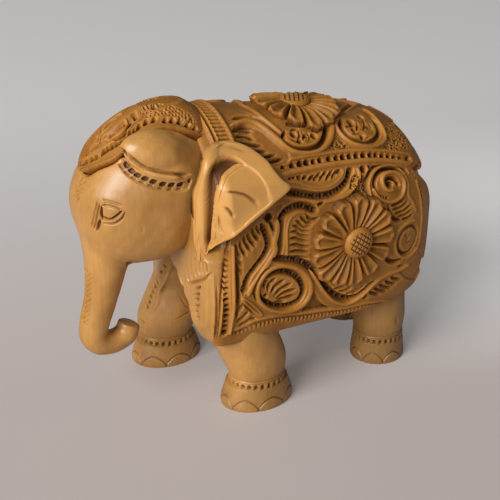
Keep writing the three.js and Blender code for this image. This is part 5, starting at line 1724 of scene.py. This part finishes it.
def carve_body(carve):
    # Pleats of the neck and the shoulder's edge under them
    carve.grooves([
        [(186, 264), (187, 274), (188.5, 283)], [(189.6, 258), (190.5, 270), (192, 281.5)],
        [(193.6, 255), (194.5, 268), (196, 279)], [(197.4, 254), (198, 266), (199.5, 277)],
        [(201, 260), (202, 268), (202.5, 276)], [(205, 262), (206, 269), (206.5, 274)]
    ], 1.15, 0.9, 0.2)
    carve.groove([(187, 284.5), (194, 282.5), (203, 279.5), (214, 272)], 1.3, 0.9, 0.15)

    # Ticks down the left foreleg, and the knife ridge beside the border
    carve.grooves([
        [(194.5, 290.2), (201.3, 286.3)], [(194.3, 296), (200, 293.5)], [(194.3, 300.8), (199.3, 298.2)],
        [(194.5, 307.5), (199.3, 305)], [(195, 313.6), (198.5, 311)], [(196.5, 319), (199.5, 316.6)]
    ], 1.2, 1.2, 0.3)
    carve.band([(213.6, 274), (214, 295), (214.5, 307), (213, 342)], 0.9, 0.4, wall=0.8, taper=0.1)
    carve.groove([(217, 285), (217.5, 310), (215, 338)], 1.2, 0.6, 0.15)

    # Right foreleg: a row of ticks and the facets beside it
    carve.grooves([
        [(164, 264.5), (166, 269)], [(160.3, 270), (162.5, 274.5)], [(158, 274.5), (160.3, 279)],
        [(156, 279.3), (158.2, 284)], [(153.8, 284), (156, 288.6)], [(151.6, 289), (153.8, 293.6)],
        [(149.5, 294), (151.6, 297.5)], [(148.4, 299.5), (150, 303.6)], [(146.4, 304), (148, 309)]
    ], 1.2, 1.2, 0.3)
    carve.band([(171, 265), (166.5, 278), (159.5, 291), (157.5, 301), (152, 313)], 1.2, 0.45, wall=0.9,
               taper=0.12)
    carve.groove([(174, 266), (180.5, 280), (185, 296)], 1.6, 0.8, 0.3)
    carve.groove([(172, 321), (182, 316.5), (193, 310.5)], 1.5, 1.1, 0.25)
    carve.groove([(140, 320), (145, 323.5)], 1.2, 0.9, 0.2)
    carve.groove([(177, 290), (184, 303), (190, 309)], 1.4, 0.5, 0.3)

    # Knife facets on the left hind leg
    carve.groove([(357, 322), (356, 335)], 1.2, 0.35, 0.3)
    carve.groove([(396, 316), (397, 326)], 0.9, 0.6, 0.3)


spots = give_way(spots_of(body_mesh))
move_to(body_mesh, spots)
body_carving = Carving(spots, form_tree(body_mesh))
carve_body(body_carving)
carved_piece("body_and_legs", body_mesh, body_carving, ["torso"] + [f"{name}_leg" for name in leg_shares],
             facets=0.06)


# Feet and anklets
FOOT_COLUMNS = 280
ANKLET_PROUD = 0.75
NAILS = 8
ANKLET_TEETH = 26
HOOF_ROWS = 60
ANKLET_ROWS = 40
rim_shares = [(0.0, 0.93), (0.06, 0.98), (0.2, 1.0), (0.6, 0.72), (1.0, 0.4)]


def ring_points(at, half, z):
    """Rings round a leg's middle, with half lengths and half widths"""
    angle = turn(FOOT_COLUMNS)
    return grid(at[0] + half[:, :1] * np.cos(angle), at[1] + half[:, 1:] * np.sin(angle), z[:, None])


for name, (foot_share, hip_share, side, form) in leg_shares.items():
    at = leg_place(foot_share, side)
    ankle, rim = np.array(form["ankle"]), np.array(form["rim"])
    angle = turn(FOOT_COLUMNS)[None]
    up = np.linspace(0, 1, HOOF_ROWS)
    flare = read_shares(rim_shares, up)[:, 1:]
    cells = ring_points(at, ankle + (rim - ankle) * flare, up * (FOOT_HEIGHT + 0.6))
    z = cells[..., 2]
    wave = np.abs(np.sin(NAILS / 2 * (angle + 0.35)))
    arch = 1.0 + 3.1 * wave ** 0.8
    nail = (1 - smooth(0.1, 0.42, np.abs(z - arch))) * smooth(0.3, 0.8, z)
    split = (1 - smooth(0.1, 0.3, wave * 2.3)) * (z < 1.6)
    cut = 0.5 * np.maximum(nail, split)
    out = grid_normals(cells)
    cells = cells - out * cut[..., None] * np.sign(np.median(out[20, :5, 0]))
    cells[0, :, 2] = 0
    # The nail lines and toe splits are darker: painted shade, with the cuts' darker unpolished wood
    marks = {"hollow": cut, "edge": np.zeros_like(cut)}
    finish_piece(f"{name}_hoof", skin(cells, marks), smooth_wood, [f"{name}_foot"])
    up = np.linspace(0, 1, ANKLET_ROWS)
    proud = ANKLET_PROUD * np.sqrt(np.clip(1 - (2 * up - 1) ** 6, 0, 1))[:, None] - 0.4
    cells = ring_points(at, ankle + proud, FOOT_HEIGHT - 0.2 + up * (ANKLET_HEIGHT + 0.4))
    tooth = smooth(0.15, 0.5, np.abs(np.modf(angle * ANKLET_TEETH / (2 * math.pi))[0] - 0.5) * 2 - 0.1)
    low = smooth(0.72, 0.6, up)[:, None] * smooth(0.0, 0.06, up)[:, None]
    line = np.exp(-((up - 0.78) / 0.06) ** 2)[:, None]
    cut = 1.3 * low * (1 - tooth) + 0.6 * line
    away = cells - np.array([*at, 0.0])
    away[..., 2] = 0
    away /= np.linalg.norm(away, axis=2, keepdims=True)
    cells = cells - away * cut[..., None]
    # The notches and the line above them are darker: painted shade, with the cuts' darker unpolished wood
    marks = {"hollow": 0.75 * smooth(0.4, 1.5, cut), "edge": np.zeros_like(cut)}
    finish_piece(f"{name}_ankle_band", skin(cells, marks), smooth_wood, [f"{name}_anklet"])


# Tail, and the border over the rump
TAIL_HALF = 2.1
TAIL_RINGS = 130
TAIL_SIDES = 96
RUMP_COLUMNS = 300
RUMP_ROWS = 36
RUMP_HALF = 20.5
tail_shares = [(-1.1, 0.5), (-1.06, 1.0), (-1.0, 1.3), (-0.8, 1.1), (-0.5, 0.95), (-0.2, 1.0), (0.1, 0.9),
               (0.33, 0.7)]


def rear_x(z, y, wall):
    """How far back the body reaches at a height, off its middle line"""
    z, y = np.broadcast_arrays(z, y)
    shape = z.shape
    z, y = z.reshape(-1), y.reshape(-1)
    low = np.full(len(z), TORSO_FRONT_X + 0.5 * TORSO_LENGTH)
    high = np.full(len(z), TORSO_FRONT_X + TORSO_LENGTH + wall)
    for _ in range(20):
        middle = (low + high) / 2
        rise, drop, half, full = torso_cut(middle, wall)
        up = z > WAIST_Z
        power = np.where(up, full * BACK_POWER, BELLY_POWER)
        tall = np.where(up, rise, drop)
        within = (np.abs(z - WAIST_Z) / tall) ** power + (np.abs(y) / half) ** power < 1
        low = np.where(within, middle, low)
        high = np.where(within, high, middle)
    return low.reshape(shape)


up = np.linspace(0.33, -1.1, TAIL_RINGS)
z = WAIST_Z + up * np.where(up > 0, TORSO_RISE, TORSO_DROP)
thick = read_shares(tail_shares, up)[:, 1] * TAIL_HALF
back = np.maximum.accumulate(rear_x(np.maximum(z, BELLY_Z + 0.2), np.zeros(TAIL_RINGS), 0.0))
angle = turn(TAIL_SIDES)[None]
strand = 0.22 * np.abs(np.sin(5 * angle + z[:, None] * 0.22)) * smooth(-0.45, -0.7, up)[:, None]
reach = thick[:, None] - strand
tail_cells = grid(back[:, None] + 0.1 + TAIL_HALF + reach * np.cos(angle), reach * np.sin(angle),
                  z[:, None])
# The grooves between the strands are darker: painted shade, with the cuts' darker unpolished wood
finish_piece("tail_switch", skin(tail_cells, {"hollow": 2.5 * strand}), smooth_wood, ["tail"])

rump_line_z = WAIST_Z + RUMP_LINE * TORSO_RISE
rows = np.linspace(rump_line_z - 2.2, rump_line_z + 1.8, RUMP_ROWS)[:, None]
across = np.linspace(-RUMP_HALF, RUMP_HALF, RUMP_COLUMNS)[None]
rump_cells = grid(rear_x(rows, across, 1.5), across, rows)
share = np.linspace(0, 1, RUMP_ROWS)[:, None]
notch = 1 - smooth(0.2, 0.55, np.abs(np.modf(100 + across / TICK_PITCH)[0] - 0.5) * 2)
rump_height = -0.9 * notch * smooth(0.2, 0.3, share) * (1 - smooth(0.6, 0.7, share))
rump_height = rump_height - 0.6 * smooth(0.9, 1, share)
lay_sheet("rump_relief", rump_cells, rump_height, ["rump_border"])


# Floor, backdrop, light and camera
FLOOR_NEAR = (0.46, 0.405, 0.385)
FLOOR_FAR = (0.58, 0.57, 0.575)
# Colour of the painted light on the floor
FLOOR_PAINTED_LIGHT = (0.30, 0.30, 0.30)
FLOOR_AWAY = (0.5, 0.866, 0.0)
FLOOR_RIGHT = (0.866, -0.5, 0.0)
bm = bmesh.new()
bmesh.ops.create_grid(bm, x_segments=2, y_segments=2, size=3.0)
floor_mesh = bpy.data.meshes.new("floor")
bm.to_mesh(floor_mesh)
bm.free()
floor = show("floor", floor_mesh)
ground = Paint("pale_board", 0.7)
place = ground.node("TexCoord", {}, out=3)
# Paler further away: painted light that makes up for the lamp's falloff
away = ground.node("VectorMath", DOT, place, FLOOR_AWAY, out=1)
far = ground.node("MapRange", GRADUAL, away, -0.06, 0.3)
ground.feed("Base Color", ground.mix(far, FLOOR_NEAR, FLOOR_FAR))
# A glow that only camera rays see: painted light on the floor, rising further away and strongest to the
# right, where it lifts the elephant's cast shadow
aside = ground.node("VectorMath", DOT, place, FLOOR_RIGHT, out=1)
seen = ground.node("LightPath", {})
far_painted_light = ground.node("MapRange", {}, away, -0.1, 0.25, 0.2, 0.5)
beside = ground.node("MapRange", GRADUAL, aside, -0.03, 0.13)
beyond = ground.node("MapRange", GRADUAL, away, -0.02, 0.06)
short_of = ground.node("MapRange", GRADUAL, away, 0.26, 0.1)
floor_painted_light = (far_painted_light + beside * beyond * short_of * 0.7) * seen
ground.feed("Emission Color", ground.mix(floor_painted_light, (0.0, 0.0, 0.0), FLOOR_PAINTED_LIGHT))
ground.shader.inputs["Emission Strength"].default_value = 1.0
floor_mesh.materials.append(ground.material)


LAMP_AIM = Vector((0.0, 0.0, 0.05))


def lamp(name, place, size, power, colour):
    data = bpy.data.lights.new(name, "AREA")
    data.size = size
    data.energy = power
    data.color = colour
    holder = show(name, data)
    holder.location = Vector(place)
    holder.rotation_euler = (LAMP_AIM - Vector(place)).to_track_quat("-Z", "Y").to_euler()


lamp("window", place=(-1.9, -0.75, 1.3), size=1.5, power=76.0, colour=(1.0, 0.98, 0.95))
lamp("doorway", place=(-0.6, -1.5, 0.35), size=0.9, power=3.0, colour=(1.0, 0.98, 0.96))
world = bpy.data.worlds.new("room")
bpy.context.scene.world = world
world.use_nodes = True
background = world.node_tree.nodes["Background"]
background.inputs["Color"].default_value = (1, 1, 1, 1)
background.inputs["Strength"].default_value = 0.12

camera_data = bpy.data.cameras.new("camera")
camera_data.sensor_width = SENSOR
camera_data.lens = FOCAL_PIXELS / FRAME_PIXELS * SENSOR
camera = show("camera", camera_data)
camera.location = Vector(EYE) * MM
camera.rotation_euler = Matrix([VIEW_RIGHT, VIEW_UP, VIEW_BACK]).transposed().to_euler()
bpy.context.scene.camera = camera
bpy.context.scene.view_settings.view_transform = "Standard"
